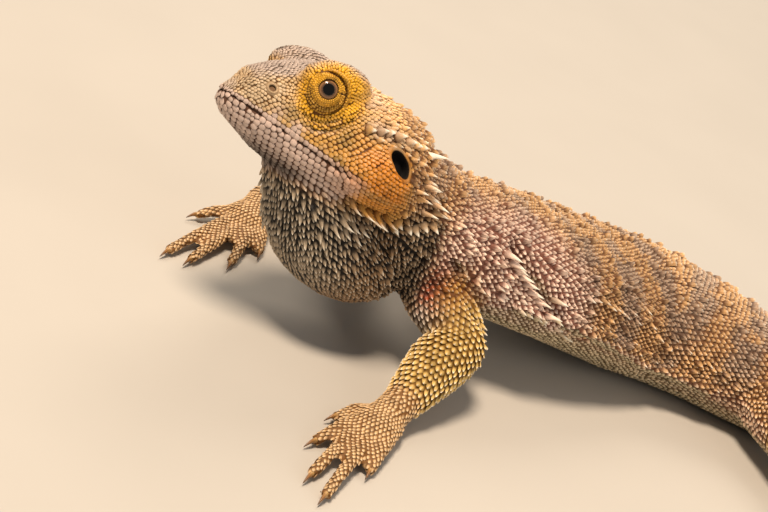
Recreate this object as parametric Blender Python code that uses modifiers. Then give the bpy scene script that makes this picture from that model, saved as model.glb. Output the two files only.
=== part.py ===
"""A bearded dragon (Pogona vitticeps) at life size: a still model, resting on hands, belly, feet and tail.

Frame: metres, +Z up. The head points towards -Y and the tail towards +Y, and the animal's left side is +X.
The origin is the middle of the bounding box, at floor level.

The flesh is modelled whole: lofted head, throat, trunk and tail root, with tapered limbs and digits, are
fused by a voxel remesh. Thin discs and slabs then part it into the regions that a person would name. The
tail past its root is lofted in lengths, and eyeballs and claws are pieces of their own.
"""

import math
from collections import namedtuple

import bmesh
import bpy
from mathutils import Matrix, Vector
from mathutils.bvhtree import BVHTree

# ---- Gaps and mesh fineness -------------------------------------------------------------------------------
GAP = 0.0003  # between neighbouring nodes
VOXEL = 0.0009
SMOOTH_ROUNDS = 4
FLESH_TRIANGLES = 3700  # after thinning, before the parting cuts
RING_POINTS = 28
TAIL_RING_POINTS = 14
STEPS_PER_STATION = 4
SMALLEST_PIECE = 2e-9  # cubic metres, under which an offcut is dropped

# ---- Spine: from inside the back of the head to the root of the tail --------------------------------------
Station = namedtuple("Station", "x y z half_width rise drop")
SPINE = [
    Station(0.0423, -0.0520, 0.0500, 0.0130, 0.0085, 0.0110),
    Station(0.0423, -0.0400, 0.0475, 0.0155, 0.0120, 0.0160),  # nape
    Station(0.0430, -0.0290, 0.0405, 0.0165, 0.0138, 0.0190),
    Station(0.0440, -0.0160, 0.0335, 0.0185, 0.0155, 0.0180),  # shoulders
    Station(0.0435, 0.0000, 0.0310, 0.0195, 0.0155, 0.0165),
    Station(0.0410, 0.0150, 0.0285, 0.0242, 0.0150, 0.0170),
    Station(0.0345, 0.0320, 0.0235, 0.0272, 0.0148, 0.0175),
    Station(0.0302, 0.0480, 0.0195, 0.0276, 0.0148, 0.0180),  # belly meets the floor
    Station(0.0315, 0.0640, 0.0170, 0.0258, 0.0156, 0.0174),
    Station(0.0395, 0.0790, 0.0155, 0.0210, 0.0157, 0.0160),
    Station(0.0500, 0.0930, 0.0145, 0.0180, 0.0147, 0.0149),  # hips
    Station(0.0600, 0.1050, 0.0130, 0.0150, 0.0122, 0.0134),
    Station(0.0690, 0.1170, 0.0112, 0.0120, 0.0102, 0.0115),  # root of the tail
    Station(0.0755, 0.1270, 0.0102, 0.0108, 0.0092, 0.0104),
]
TRUNK_SQUARENESS = 2.25
FLANK_RIDGE = 0.0016  # the spiny fringe along each side stands this far out
TRUNK_CUTS = {"trunk_front": 5.3, "trunk_middle": 7.9}  # rear ends, in stations of SPINE
LeaningCut = namedtuple("LeaningCut", "y z lean")
NECK_CUTS = {  # front and rear ends of the neck: a place on the plane, and how far its foot leans back
    "head": LeaningCut(-0.0345, 0.0450, math.radians(15.0)),
    "neck": LeaningCut(-0.0235, 0.0450, math.radians(4.0)),
}
NECK_CUT_MIDDLE = 0.0435
NECK_CUT_WIDTH = 0.0430
TAIL_ROOT_AT = 12.0  # in stations of SPINE

# ---- Tail -------------------------------------------------------------------------------------------------
TAIL_LENGTH = 0.246
TAIL_PIECES = 5
TAIL_TIP_RADIUS = 0.0008
TAIL_SQUARENESS = 2.1
TAIL_TURNS = (  # share of the length, heading in degrees from +Y towards +X
    (0.00, 33.0),
    (0.22, 12.0),
    (0.50, -16.0),
    (0.78, -12.0),
    (1.00, 8.0),
)

# ---- Head: (forward, left, up) from the front of the mouth ------------------------------------------------
MOUTH_FRONT = Vector((0.0434, -0.0836, 0.0566))
HEAD_YAW = math.radians(1.2)
HEAD_PITCH = math.radians(10.8)
HEAD_ROLL = math.radians(17.5)  # the left side is held higher
HeadStation = namedtuple("HeadStation", "forward up half_width rise drop")
HEAD = [
    HeadStation(0.0014, 0.0000, 0.0024, 0.0010, 0.0026),
    HeadStation(-0.0012, 0.0004, 0.0051, 0.0032, 0.0053),  # the snout stands behind the chin
    HeadStation(-0.0034, 0.0005, 0.0064, 0.0074, 0.0066),
    HeadStation(-0.0076, 0.0005, 0.0080, 0.0104, 0.0083),  # nostrils
    HeadStation(-0.0132, 0.0000, 0.0099, 0.0134, 0.0102),
    HeadStation(-0.0190, -0.0005, 0.0120, 0.0161, 0.0110),  # eyes
    HeadStation(-0.0260, -0.0012, 0.0146, 0.0177, 0.0111),
    HeadStation(-0.0340, -0.0022, 0.0176, 0.0181, 0.0113),
    HeadStation(-0.0420, -0.0030, 0.0192, 0.0178, 0.0118),  # ears
    HeadStation(-0.0490, -0.0030, 0.0178, 0.0162, 0.0118),
    HeadStation(-0.0540, -0.0030, 0.0150, 0.0135, 0.0100),
]
HEAD_SQUARENESS = 2.35
EYE_AT = Vector((-0.0190, 0.0102, 0.0102))
EYE_RADIUS = 0.0040
SOCKET_RADIUS = EYE_RADIUS + GAP
BROW_AT = Vector((-0.0212, 0.0093, 0.0130))
BROW_SIZE = (0.0098, 0.0046, 0.0053)
BROW_SLOPE = math.radians(9.0)  # the front of the brow is the lower end
ORBIT_AT = Vector((-0.0202, 0.0092, 0.0100))
ORBIT_SIZE = (0.0070, 0.0046, 0.0068)
JOWL_AT = Vector((-0.0395, 0.0120, -0.0035))
JOWL_SIZE = (0.0125, 0.0092, 0.0085)
EAR_AT = Vector((-0.0420, 0.0190, 0.0018))
EAR_SIZE = (0.0017, 0.0022, 0.0032)
NOSTRIL_AT = Vector((-0.0066, 0.0070, 0.0056))
NOSTRIL_RADIUS = 0.0010
GAPE_BACK = -0.0340  # how far back the mouth line runs
GAPE_DROP = 0.0066  # and how far below the front of the mouth it ends
JAW_FLOOR = -0.0125  # underside of the jaws, where the throat begins

# ---- Throat and beard: centres in world space -------------------------------------------------------------
Pouch = namedtuple("Pouch", "x y z half_width front back")
BEARD = [
    Pouch(0.0430, -0.0560, 0.0500, 0.0130, 0.0152, 0.0120),
    Pouch(0.0432, -0.0510, 0.0400, 0.0155, 0.0156, 0.0180),
    Pouch(0.0436, -0.0465, 0.0315, 0.0175, 0.0162, 0.0210),
    Pouch(0.0440, -0.0415, 0.0240, 0.0184, 0.0182, 0.0210),
    Pouch(0.0440, -0.0390, 0.0176, 0.0164, 0.0162, 0.0170),
    Pouch(0.0440, -0.0375, 0.0135, 0.0118, 0.0112, 0.0100),
    Pouch(0.0440, -0.0365, 0.0116, 0.0060, 0.0060, 0.0050),
]

# ---- Limbs: joints in world space -------------------------------------------------------------------------
Limb = namedtuple("Limb", "root bend end radii")
ARM_RADII = (0.0088, 0.0088, 0.0073, 0.0077, 0.0050)  # shoulder, upper arm, elbow, forearm, wrist
LEG_RADII = (0.0105, 0.0095, 0.0068, 0.0068, 0.0044)  # hip, thigh, knee, shank, ankle
LIMBS = {
    "arm_left": Limb(
        (0.0485, -0.0175, 0.0255), (0.0683, -0.0096, 0.0156), (0.0861, -0.0278, 0.0063), ARM_RADII
    ),
    "arm_right": Limb(
        (0.0355, -0.0150, 0.0255), (0.0010, -0.0100, 0.0145), (-0.0080, -0.0370, 0.0058), ARM_RADII
    ),
    "leg_left": Limb(
        (0.0600, 0.0940, 0.0130), (0.0970, 0.0920, 0.0140), (0.1000, 0.1225, 0.0062), LEG_RADII
    ),
    "leg_right": Limb(
        (0.0440, 0.1040, 0.0130), (0.0190, 0.1280, 0.0135), (0.0350, 0.1545, 0.0062), LEG_RADII
    ),
}
SEGMENTS = {"arm": ("upper_arm", "forearm", "hand"), "leg": ("thigh", "shank", "foot")}
ROOT_CUT = {"arm": 0.58, "leg": 0.55}  # share of the first bone that stays with the trunk
ROOT_CUT_RADIUS = {"arm": 0.0125, "leg": 0.0150}
BEND_CUT_RADIUS = 0.0105
END_CUT_RADIUS = {"arm": 0.0105, "leg": 0.0140}

# ---- Hands and feet: laid out in the direction of the palm, and outwards from its middle ------------------
Palm = namedtuple("Palm", "middle half_length half_width height root_radius tip_radius")
HAND = Palm(0.0109, 0.0083, 0.0064, 0.0041, 0.0021, 0.0018)
FOOT = Palm(0.0144, 0.0112, 0.0076, 0.0042, 0.0023, 0.0018)
PALMS = {"arm": HAND, "leg": FOOT}
Digit = namedtuple("Digit", "along across splay length")
FOOT_DIGITS = (
    Digit(0.0150, -0.0058, -28.0, 0.0090),
    Digit(0.0200, -0.0036, -15.0, 0.0140),
    Digit(0.0235, 0.0000, -2.0, 0.0205),
    Digit(0.0240, 0.0040, 11.0, 0.0280),
    Digit(0.0130, 0.0066, 40.0, 0.0155),
)
DIGITS = {  # thumb first; the right hand is spread wider
    "arm_left": (
        Digit(0.0078, -0.0056, -22.0, 0.0096),
        Digit(0.0150, -0.0044, -9.3, 0.0160),
        Digit(0.0185, -0.0024, 4.6, 0.0258),
        Digit(0.0185, 0.0016, 8.2, 0.0301),
        Digit(0.0130, 0.0046, 11.0, 0.0161),
    ),
    "arm_right": (
        Digit(0.0130, -0.0046, -19.5, 0.0117),
        Digit(0.0170, -0.0028, -6.8, 0.0201),
        Digit(0.0185, -0.0006, 7.6, 0.0282),
        Digit(0.0180, 0.0036, 10.0, 0.0306),
        Digit(0.0120, 0.0050, 34.5, 0.0120),
    ),
    "leg_left": FOOT_DIGITS,
    "leg_right": FOOT_DIGITS,
}
PAW_HEADINGS = {  # degrees from -Y towards +X
    "arm_left": 43.0,
    "arm_right": 53.0,
    "leg_left": 62.0,
    "leg_right": -102.0,
}
KNUCKLE_LIFT = 0.0014
FLAT_DEPTH = 0.0003  # the floor takes this much off each sole, palm and digit
CLAW_LENGTH = {"arm": 0.0032, "leg": 0.0035}
CLAW_RADIUS = 0.0010
CLAW_DROOP = math.radians(20.0)

# ---- Colours: RGB and roughness ---------------------------------------------------------------------------
COLOURS = {
    "head": ((0.62, 0.50, 0.34), 0.70),
    "beard": ((0.46, 0.38, 0.27), 0.75),
    "body": ((0.55, 0.41, 0.25), 0.75),
    "limb": ((0.66, 0.52, 0.28), 0.70),
    "tail": ((0.52, 0.41, 0.27), 0.75),
    "eye": ((0.10, 0.06, 0.03), 0.10),
    "claw": ((0.23, 0.14, 0.07), 0.40),
}


# ---- Small helpers ----------------------------------------------------------------------------------------
def clear_scene():
    for old in list(bpy.data.objects):
        bpy.data.objects.remove(old, do_unlink=True)


def new_collection(name, is_helper=False):
    collection = bpy.data.collections.new(name)
    bpy.context.scene.collection.children.link(collection)
    collection.hide_render = is_helper
    return collection


def make_material(name):
    colour, roughness = COLOURS[name]
    material = bpy.data.materials.new(name)
    material.use_nodes = True
    shader = material.node_tree.nodes["Principled BSDF"]
    shader.inputs["Base Color"].default_value = (*colour, 1.0)
    shader.inputs["Roughness"].default_value = roughness
    shader.inputs["Metallic"].default_value = 0.0
    return material


def add_object(name, form, collection, material=None):
    """Turns a bmesh into an object, which frees the bmesh."""
    mesh = bpy.data.meshes.new(name)
    bmesh.ops.recalc_face_normals(form, faces=form.faces)
    form.to_mesh(mesh)
    form.free()
    thing = bpy.data.objects.new(name, mesh)
    collection.objects.link(thing)
    if material:
        mesh.materials.append(material)
    return thing


def signed_power(value, power):
    return math.copysign(abs(value) ** power, value)


def between(low, high, share):
    return low + (high - low) * share


def smooth_value(before, start, end, after, share):
    """The value on the smooth curve from start to end, given its neighbours."""
    slope = end - before
    bend = 2 * before - 5 * start + 4 * end - after
    twist = 3 * (start - end) + after - before
    return 0.5 * (2 * start + slope * share + bend * share**2 + twist * share**3)


def catmull_rom(keys, at):
    """Reads the smooth curve through rows of numbers at a place counted in rows."""
    index = min(int(at), len(keys) - 2)
    share = at - index
    rows = keys[max(index - 1, 0)], keys[index], keys[index + 1], keys[min(index + 2, len(keys) - 1)]
    return [smooth_value(*numbers, share) for numbers in zip(*rows)]


def samples(keys):
    """Rows along the smooth curve through the keys, STEPS_PER_STATION to each stretch."""
    count = (len(keys) - 1) * STEPS_PER_STATION
    return [catmull_rom(keys, step / STEPS_PER_STATION) for step in range(count + 1)]


def oval(centre, side, up, half_width, rise, drop, squareness, points=RING_POINTS):
    ring = []
    for step in range(points):
        angle = math.tau * step / points
        across = half_width * signed_power(math.cos(angle), 2 / squareness)
        height = signed_power(math.sin(angle), 2 / squareness)
        ring.append(centre + side * across + up * height * (rise if height > 0 else drop))
    return ring


def loft(form, rings):
    """Joins rings of equal length into a closed tube inside the bmesh."""
    rows = [[form.verts.new(point) for point in ring] for ring in rings]
    count = len(rows[0])
    for row, following in zip(rows, rows[1:]):
        for step in range(count):
            ahead = (step + 1) % count
            form.faces.new((row[step], row[ahead], following[ahead], following[step]))
    form.faces.new(list(reversed(rows[0])))
    form.faces.new(rows[-1])


def ball(form, placing, size, segments=24):
    bmesh.ops.create_uvsphere(
        form,
        u_segments=segments,
        v_segments=segments // 2,
        radius=1.0,
        matrix=placing @ Matrix.Diagonal((*size, 1.0)),
    )


def facing(centre, normal):
    """A frame at the centre whose Z axis is the normal."""
    return Matrix.Translation(centre) @ Vector(normal).to_track_quat("Z", "Y").to_matrix().to_4x4()


def tapered_tube(form, points, radii):
    """A round limb or digit: a curve with a bevel, its radius running from point to point."""
    rows = samples([(*point, radius) for point, radius in zip(points, radii)])
    curve = bpy.data.curves.new("limb_path", "CURVE")
    curve.dimensions = "3D"
    curve.bevel_depth = 1.0
    curve.bevel_resolution = 3
    curve.use_fill_caps = True
    spline = curve.splines.new("POLY")
    spline.points.add(len(rows) - 1)
    for point, row in zip(spline.points, rows):
        point.co = (*row[:3], 1.0)
        point.radius = row[3]
    path = bpy.data.objects.new("limb_path", curve)
    bpy.context.scene.collection.objects.link(path)
    bpy.context.view_layer.update()
    mesh = bpy.data.meshes.new_from_object(path.evaluated_get(bpy.context.evaluated_depsgraph_get()))
    form.from_mesh(mesh)
    bpy.data.objects.remove(path, do_unlink=True)
    bpy.data.curves.remove(curve)
    bpy.data.meshes.remove(mesh)


# ---- The rig ----------------------------------------------------------------------------------------------
def head_frame():
    """Axes forward, left and up as the columns, at the front of the mouth."""
    level = math.cos(HEAD_PITCH)
    forward = Vector((math.sin(HEAD_YAW) * level, -math.cos(HEAD_YAW) * level, math.sin(HEAD_PITCH)))
    level_left = Vector((0.0, 0.0, 1.0)).cross(forward).normalized()
    level_up = forward.cross(level_left)
    left = level_left * math.cos(HEAD_ROLL) + level_up * math.sin(HEAD_ROLL)
    up = forward.cross(left)
    axes = Matrix((forward, left, up)).transposed().to_4x4()
    return Matrix.Translation(MOUTH_FRONT) @ axes


def spine_frame(at):
    """Centre, backward direction, left and up of the spine at a place counted in stations."""
    step = 0.05
    here = Vector(catmull_rom(SPINE, at)[:3])
    ahead = Vector(catmull_rom(SPINE, min(at + step, len(SPINE) - 1))[:3])
    behind = Vector(catmull_rom(SPINE, max(at - step, 0))[:3])
    backward = (ahead - behind).normalized()
    left = backward.cross(Vector((0.0, 0.0, 1.0))).normalized()
    return here, backward, left, left.cross(backward)


def limb_kind(name):
    return name.split("_")[0]


def side_of(name):
    return name.split("_")[1]


def paw_axes(name):
    heading = math.radians(PAW_HEADINGS[name])
    forward = Vector((math.sin(heading), -math.cos(heading), 0.0))
    outward = Vector((math.cos(heading), math.sin(heading), 0.0))
    return forward, outward if side_of(name) == "left" else -outward


def digit_line(name, digit):
    """Root, knuckle and tip of a digit, lying on the floor."""
    palm = PALMS[limb_kind(name)]
    forward, outward = paw_axes(name)
    wrist = Vector(LIMBS[name].end)
    splay = math.radians(digit.splay)
    pointing = forward * math.cos(splay) + outward * math.sin(splay)
    root = wrist + forward * digit.along + outward * digit.across
    root.z = palm.root_radius + KNUCKLE_LIFT - FLAT_DEPTH
    tip = root + pointing * digit.length
    tip.z = palm.tip_radius - FLAT_DEPTH
    knuckle = root + pointing * digit.length * 0.45
    knuckle.z = palm.tip_radius + KNUCKLE_LIFT
    return root, knuckle, tip, pointing


# ---- Flesh ------------------------------------------------------------------------------------------------
def add_trunk(form):
    rings = []
    for step, row in enumerate(samples(SPINE)):
        at = step / STEPS_PER_STATION
        centre, _, left, up = spine_frame(at)
        half_width, rise, drop = row[3:]
        rings.append(oval(centre, left, up, half_width, rise, drop, TRUNK_SQUARENESS))
    loft(form, rings)


def add_flank_ridges(form):
    """The low ridge that carries the fringe of spines, from the armpit to the groin."""
    first, last, count = 4.2, 9.6, 16
    for side in (1, -1):
        points, radii = [], []
        for step in range(count):
            share = step / (count - 1)
            at = between(first, last, share)
            centre, _, left, up = spine_frame(at)
            half_width, _, drop = catmull_rom(SPINE, at)[3:]
            fade = math.sin(math.pi * between(0.12, 0.88, share))
            reach = half_width - FLANK_RIDGE * (1 - fade)
            points.append(centre + left * side * reach - up * drop * 0.22)
            radii.append(0.0024)
        tapered_tube(form, points, radii)


def add_head(form, frame):
    forward, left, up = (frame.to_3x3() @ axis for axis in Matrix.Identity(3))
    rings = []
    for row in samples(HEAD):
        centre = frame @ Vector((row[0], 0.0, row[1]))
        rings.append(oval(centre, left, up, *row[2:], HEAD_SQUARENESS))
    loft(form, rings)
    for side in (1, -1):
        mirrored = Vector((1.0, side, 1.0))
        for place, size, slope in (
            (BROW_AT, BROW_SIZE, BROW_SLOPE),
            (ORBIT_AT, ORBIT_SIZE, 0.0),
            (JOWL_AT, JOWL_SIZE, 0.0),
        ):
            sloped = Matrix.Translation(place * mirrored) @ Matrix.Rotation(slope, 4, "Y")
            ball(form, frame @ sloped, size)


def add_beard(form):
    """The throat and its pouch, as level ovals from under the jaws down to the breast."""
    rings = []
    for x, y, z, half_width, front, back in samples(BEARD):
        ring = oval(Vector((x, y, z)), Vector((1, 0, 0)), Vector((0, -1, 0)), half_width, front, back, 2.1)
        rings.append(ring)
    loft(form, rings)


def add_limb(form, name):
    limb = LIMBS[name]
    root, bend, end = (Vector(joint) for joint in (limb.root, limb.bend, limb.end))
    points = (root, root.lerp(bend, 0.5), bend, bend.lerp(end, 0.38), end)
    tapered_tube(form, points, limb.radii)
    ball(form, Matrix.Translation(bend), [limb.radii[2]] * 3)


def palm_middle(name):
    palm = PALMS[limb_kind(name)]
    middle = Vector(LIMBS[name].end) + paw_axes(name)[0] * palm.middle
    middle.z = palm.height - FLAT_DEPTH
    return middle


def add_paw(form, name):
    palm = PALMS[limb_kind(name)]
    forward, outward = paw_axes(name)
    wrist, middle = Vector(LIMBS[name].end), palm_middle(name)
    heel_radius = LIMBS[name].radii[-1]
    axes = Matrix((forward, outward, Vector((0, 0, 1)))).transposed().to_4x4()
    ball(form, Matrix.Translation(middle) @ axes, (palm.half_length, palm.half_width, palm.height))
    tapered_tube(form, (wrist, wrist.lerp(middle, 0.5), middle), (heel_radius, heel_radius, palm.height))
    thick, thin = palm.root_radius, palm.tip_radius
    for digit in DIGITS[name]:
        root, knuckle, tip, _ = digit_line(name, digit)
        start = middle.lerp(root, 0.4)
        start.z = root.z
        tapered_tube(form, (start, root, knuckle, tip), (thick, thick, (thick + thin) / 2, thin))


def fused_flesh(frame, collection):
    """Everything but the tail, in one closed skin."""
    form = bmesh.new()
    add_trunk(form)
    add_flank_ridges(form)
    add_head(form, frame)
    add_beard(form)
    for name in LIMBS:
        add_limb(form, name)
        add_paw(form, name)
    flesh = add_object("flesh", form, collection)
    remesh = flesh.modifiers.new("fuse", "REMESH")
    remesh.mode = "VOXEL"
    remesh.voxel_size = VOXEL
    smooth = flesh.modifiers.new("soften", "SMOOTH")
    smooth.factor = 0.5
    smooth.iterations = SMOOTH_ROUNDS
    bpy.context.view_layer.update()
    evaluated = flesh.evaluated_get(bpy.context.evaluated_depsgraph_get())
    triangles = sum(len(face.vertices) - 2 for face in evaluated.data.polygons)
    thin = flesh.modifiers.new("thin", "DECIMATE")
    thin.ratio = FLESH_TRIANGLES / triangles
    thin.use_collapse_triangulate = True
    return flesh


# ---- Cutters ----------------------------------------------------------------------------------------------
def add_slab(name, placing, size, cutters):
    form = bmesh.new()
    bmesh.ops.create_cube(form, size=1.0, matrix=placing @ Matrix.Diagonal((*size, 1.0)))
    add_object(name, form, cutters)


def add_disc(name, centre, normal, radius, thickness, cutters):
    form = bmesh.new()
    bmesh.ops.create_cone(
        form,
        cap_ends=True,
        segments=24,
        radius1=radius,
        radius2=radius,
        depth=thickness,
        matrix=facing(centre, normal),
    )
    add_object(name, form, cutters)


def add_limb_cutters(name, cutters):
    limb = LIMBS[name]
    kind = limb_kind(name)
    root, bend, end = (Vector(joint) for joint in (limb.root, limb.bend, limb.end))
    upper, lower = (bend - root).normalized(), (end - bend).normalized()
    paw_forward, _ = paw_axes(name)
    sideways = Vector((upper.x, 0.0, upper.z)) if kind == "arm" else upper
    place = root.lerp(bend, ROOT_CUT[kind])
    add_disc(f"cut_root_{name}", place, sideways, ROOT_CUT_RADIUS[kind], GAP, cutters)
    add_disc(f"cut_bend_{name}", bend, upper + lower, BEND_CUT_RADIUS, GAP, cutters)
    add_disc(f"cut_end_{name}", end, lower + paw_forward, END_CUT_RADIUS[kind], GAP, cutters)


def add_claw_trims(name, cutters):
    for number, digit in enumerate(DIGITS[name], 1):
        _, _, tip, pointing = digit_line(name, digit)
        depth = 0.004
        add_disc(f"trim_{name}_{number}", tip + pointing * depth / 2, pointing, 0.0026, depth, cutters)


def add_head_cutters(frame, cutters):
    width = 0.050
    reach = 0.010
    under_jaw = 0.070
    add_slab(
        "cut_under_jaw",
        frame @ Matrix.Translation((reach - under_jaw / 2, 0.0, JAW_FLOOR)),
        (under_jaw, width, GAP),
        cutters,
    )
    slope = math.atan2(GAPE_DROP, -GAPE_BACK)
    gape = math.hypot(GAPE_BACK, GAPE_DROP)
    mouth = frame @ Matrix.Rotation(-slope, 4, "Y")
    add_slab(
        "cut_mouth",
        mouth @ Matrix.Translation(((reach - gape) / 2, 0.0, 0.0)),
        (gape + reach, width, GAP),
        cutters,
    )
    fall = -GAPE_DROP - JAW_FLOOR
    add_slab(
        "cut_jaw_corner",
        frame @ Matrix.Translation((GAPE_BACK, 0.0, JAW_FLOOR + fall / 2)),
        (GAP, width, fall + GAP),
        cutters,
    )
    for side, mirrored in (("left", Vector((1, 1, 1))), ("right", Vector((1, -1, 1)))):
        for part, place, size in (
            ("socket", EYE_AT, [SOCKET_RADIUS] * 3),
            ("ear", EAR_AT, EAR_SIZE),
            ("nostril", NOSTRIL_AT, [NOSTRIL_RADIUS] * 3),
        ):
            form = bmesh.new()
            ball(form, frame @ Matrix.Translation(place * mirrored), size, 14)
            add_object(f"{part}_{side}", form, cutters)


def add_cutters(frame, cutters):
    floor_block = 0.6
    add_slab("floor", Matrix.Translation((0.0, 0.0, -floor_block / 2)), [floor_block] * 3, cutters)
    add_head_cutters(frame, cutters)
    for name, cut in NECK_CUTS.items():
        placing = Matrix.Translation((NECK_CUT_MIDDLE, cut.y, cut.z)) @ Matrix.Rotation(cut.lean, 4, "X")
        add_slab(f"cut_behind_{name}", placing, (NECK_CUT_WIDTH, GAP, 0.110), cutters)
    for name, at in TRUNK_CUTS.items():
        centre, backward, left, up = spine_frame(at)
        half_width = catmull_rom(SPINE, at)[3] + 0.004
        axes = Matrix((backward, left, up)).transposed().to_4x4()
        add_slab(f"cut_{name}", Matrix.Translation(centre) @ axes, (GAP, 2 * half_width, 0.075), cutters)
    centre, backward, _, _ = spine_frame(TAIL_ROOT_AT)
    stub = 0.020
    add_disc("trim_tail_root", centre + backward * stub / 2, backward, 0.020, stub, cutters)
    for name in LIMBS:
        add_limb_cutters(name, cutters)
        add_claw_trims(name, cutters)
    for cutter in cutters.objects:
        cutter.hide_render = True
        cutter.display_type = "WIRE"


# ---- Parting the flesh ------------------------------------------------------------------------------------
def flesh_places(frame):
    """A point inside each region of the flesh, its name and its colour."""
    places = {
        "head": (frame @ Vector((-0.030, 0.0, 0.006)), "head"),
        "lower_jaw": (frame @ Vector((-0.020, 0.0, -0.0075)), "head"),
        "beard": (Vector(BEARD[2][:3]) + Vector((0.0, -0.008, -0.002)), "beard"),
        "neck": (Vector((NECK_CUT_MIDDLE, -0.0270, 0.0420)), "body"),
        "trunk_front": (spine_frame(4.2)[0], "body"),
        "trunk_middle": (spine_frame(6.6)[0], "body"),
        "trunk_rear": (spine_frame(9.4)[0], "body"),
    }
    for name, limb in LIMBS.items():
        kind, side = limb_kind(name), side_of(name)
        root, bend, end = (Vector(joint) for joint in (limb.root, limb.bend, limb.end))
        upper, lower, paw = SEGMENTS[kind]
        places[f"{upper}_{side}"] = (root.lerp(bend, 0.78), "limb")
        places[f"{lower}_{side}"] = (bend.lerp(end, 0.45), "limb")
        places[f"{paw}_{side}"] = (palm_middle(name), "limb")
    return places


def islands(form):
    """Lists of the faces that hang together."""
    left_over = set(form.faces)
    found = []
    while left_over:
        stack = [left_over.pop()]
        island = []
        while stack:
            face = stack.pop()
            island.append(face)
            for edge in face.edges:
                for neighbour in edge.link_faces:
                    if neighbour in left_over:
                        left_over.remove(neighbour)
                        stack.append(neighbour)
        found.append(island)
    return found


def is_inside(tree, point):
    crossings = 0
    start = point.copy()
    upward = Vector((0.0, 0.0, 1.0))
    while True:
        hit, _, _, _ = tree.ray_cast(start, upward)
        if hit is None:
            return crossings % 2 == 1
        crossings += 1
        start = hit + upward * 1e-6


def copy_faces(faces, centre):
    """A new bmesh of these faces, moved so that the centre is its origin."""
    form = bmesh.new()
    copies = {}
    for face in faces:
        corners = []
        for vertex in face.verts:
            if vertex not in copies:
                copies[vertex] = form.verts.new(vertex.co - centre)
            corners.append(copies[vertex])
        form.faces.new(corners)
    return form


def part_flesh(flesh, frame, collection, materials):
    """Makes a node of each piece that the cutters leave."""
    evaluated = flesh.evaluated_get(bpy.context.evaluated_depsgraph_get())
    form = bmesh.new()
    form.from_mesh(evaluated.data)
    bmesh.ops.triangulate(form, faces=form.faces)
    pieces = []
    for faces in islands(form):
        piece = copy_faces(faces, Vector())
        if abs(piece.calc_volume()) > SMALLEST_PIECE:
            pieces.append(piece)
        else:
            piece.free()
    places = flesh_places(frame)
    if len(pieces) != len(places):
        raise RuntimeError(f"{len(pieces)} pieces of flesh for {len(places)} names")
    trees = [BVHTree.FromBMesh(piece) for piece in pieces]
    for name, (place, colour) in places.items():
        inside = [piece for piece, tree in zip(pieces, trees) if is_inside(tree, place)]
        if len(inside) != 1:
            raise RuntimeError(f"{name}: its point is inside {len(inside)} pieces")
        node = copy_faces(inside[0].faces, place)
        add_object(name, node, collection, materials[colour]).location = place
    for piece in pieces:
        piece.free()
    form.free()


# ---- Tail, eyes and claws ---------------------------------------------------------------------------------
def tail_heading(share):
    for (start, first), (end, last) in zip(TAIL_TURNS, TAIL_TURNS[1:]):
        if share <= end:
            along = (share - start) / (end - start)
            eased = along * along * (3 - 2 * along)
            return math.radians(between(first, last, eased))
    return math.radians(TAIL_TURNS[-1][1])


def tail_section(share):
    """Half width and half height of the tail at a share of its length."""
    root = catmull_rom(SPINE, TAIL_ROOT_AT)
    slender = (1 - share) ** 1.15 * between(1.0, 0.86, min(share * 4, 1.0))
    half_width = between(TAIL_TIP_RADIUS, root[3], slender)
    half_height = between(TAIL_TIP_RADIUS, (root[4] + root[5]) / 2, slender)
    return half_width, half_height


def tail_rings(first, last, count):
    """Rings between two shares of the tail's length, with the tail lying on the floor."""
    small_steps = 240
    centre, backward, root_left, root_up = spine_frame(TAIL_ROOT_AT)
    root_height = centre.z
    place = Vector((centre.x, centre.y))
    line = [place.copy()]
    for step in range(small_steps):
        heading = tail_heading((step + 0.5) / small_steps)
        place = place + Vector((math.sin(heading), math.cos(heading))) * TAIL_LENGTH / small_steps
        line.append(place)
    rings = []
    for step in range(count):
        share = between(first, last, step / (count - 1))
        index = share * small_steps
        low = min(int(index), small_steps - 1)
        spot = line[low].lerp(line[low + 1], index - low)
        heading = tail_heading(share)
        half_width, half_height = tail_section(share)
        settled = min(share * 6, 1.0)
        height = between(root_height, half_height - FLAT_DEPTH, settled)
        left, up = Vector((math.cos(heading), -math.sin(heading), 0.0)), Vector((0.0, 0.0, 1.0))
        middle = Vector((spot.x, spot.y, height))
        if first == 0.0 and step == 0:
            left, up, middle = root_left, root_up, centre + backward * GAP
        size = half_width, half_height, half_height
        ring = oval(middle, left, up, *size, TAIL_SQUARENESS, TAIL_RING_POINTS)
        rings.append([Vector((point.x, point.y, max(point.z, 0.0))) for point in ring])
    return rings


def make_tail(collection, material):
    gap_share = GAP / TAIL_LENGTH
    rings_per_piece = 6
    for number in range(TAIL_PIECES):
        first = number / TAIL_PIECES
        last = (number + 1) / TAIL_PIECES - gap_share
        rings = tail_rings(first, last, rings_per_piece)
        centre = sum(rings[0], Vector()) / len(rings[0])
        form = bmesh.new()
        loft(form, [[point - centre for point in ring] for ring in rings])
        bmesh.ops.triangulate(form, faces=form.faces)
        add_object(f"tail_{number + 1}", form, collection, material).location = centre


def make_eyes(frame, collection, material):
    for side, mirrored in (("left", Vector((1, 1, 1))), ("right", Vector((1, -1, 1)))):
        form = bmesh.new()
        bmesh.ops.create_uvsphere(form, u_segments=14, v_segments=8, radius=EYE_RADIUS)
        eye = add_object(f"eye_{side}", form, collection, material)
        eye.location = frame @ (EYE_AT * mirrored)
        eye.data.shade_smooth()


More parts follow.
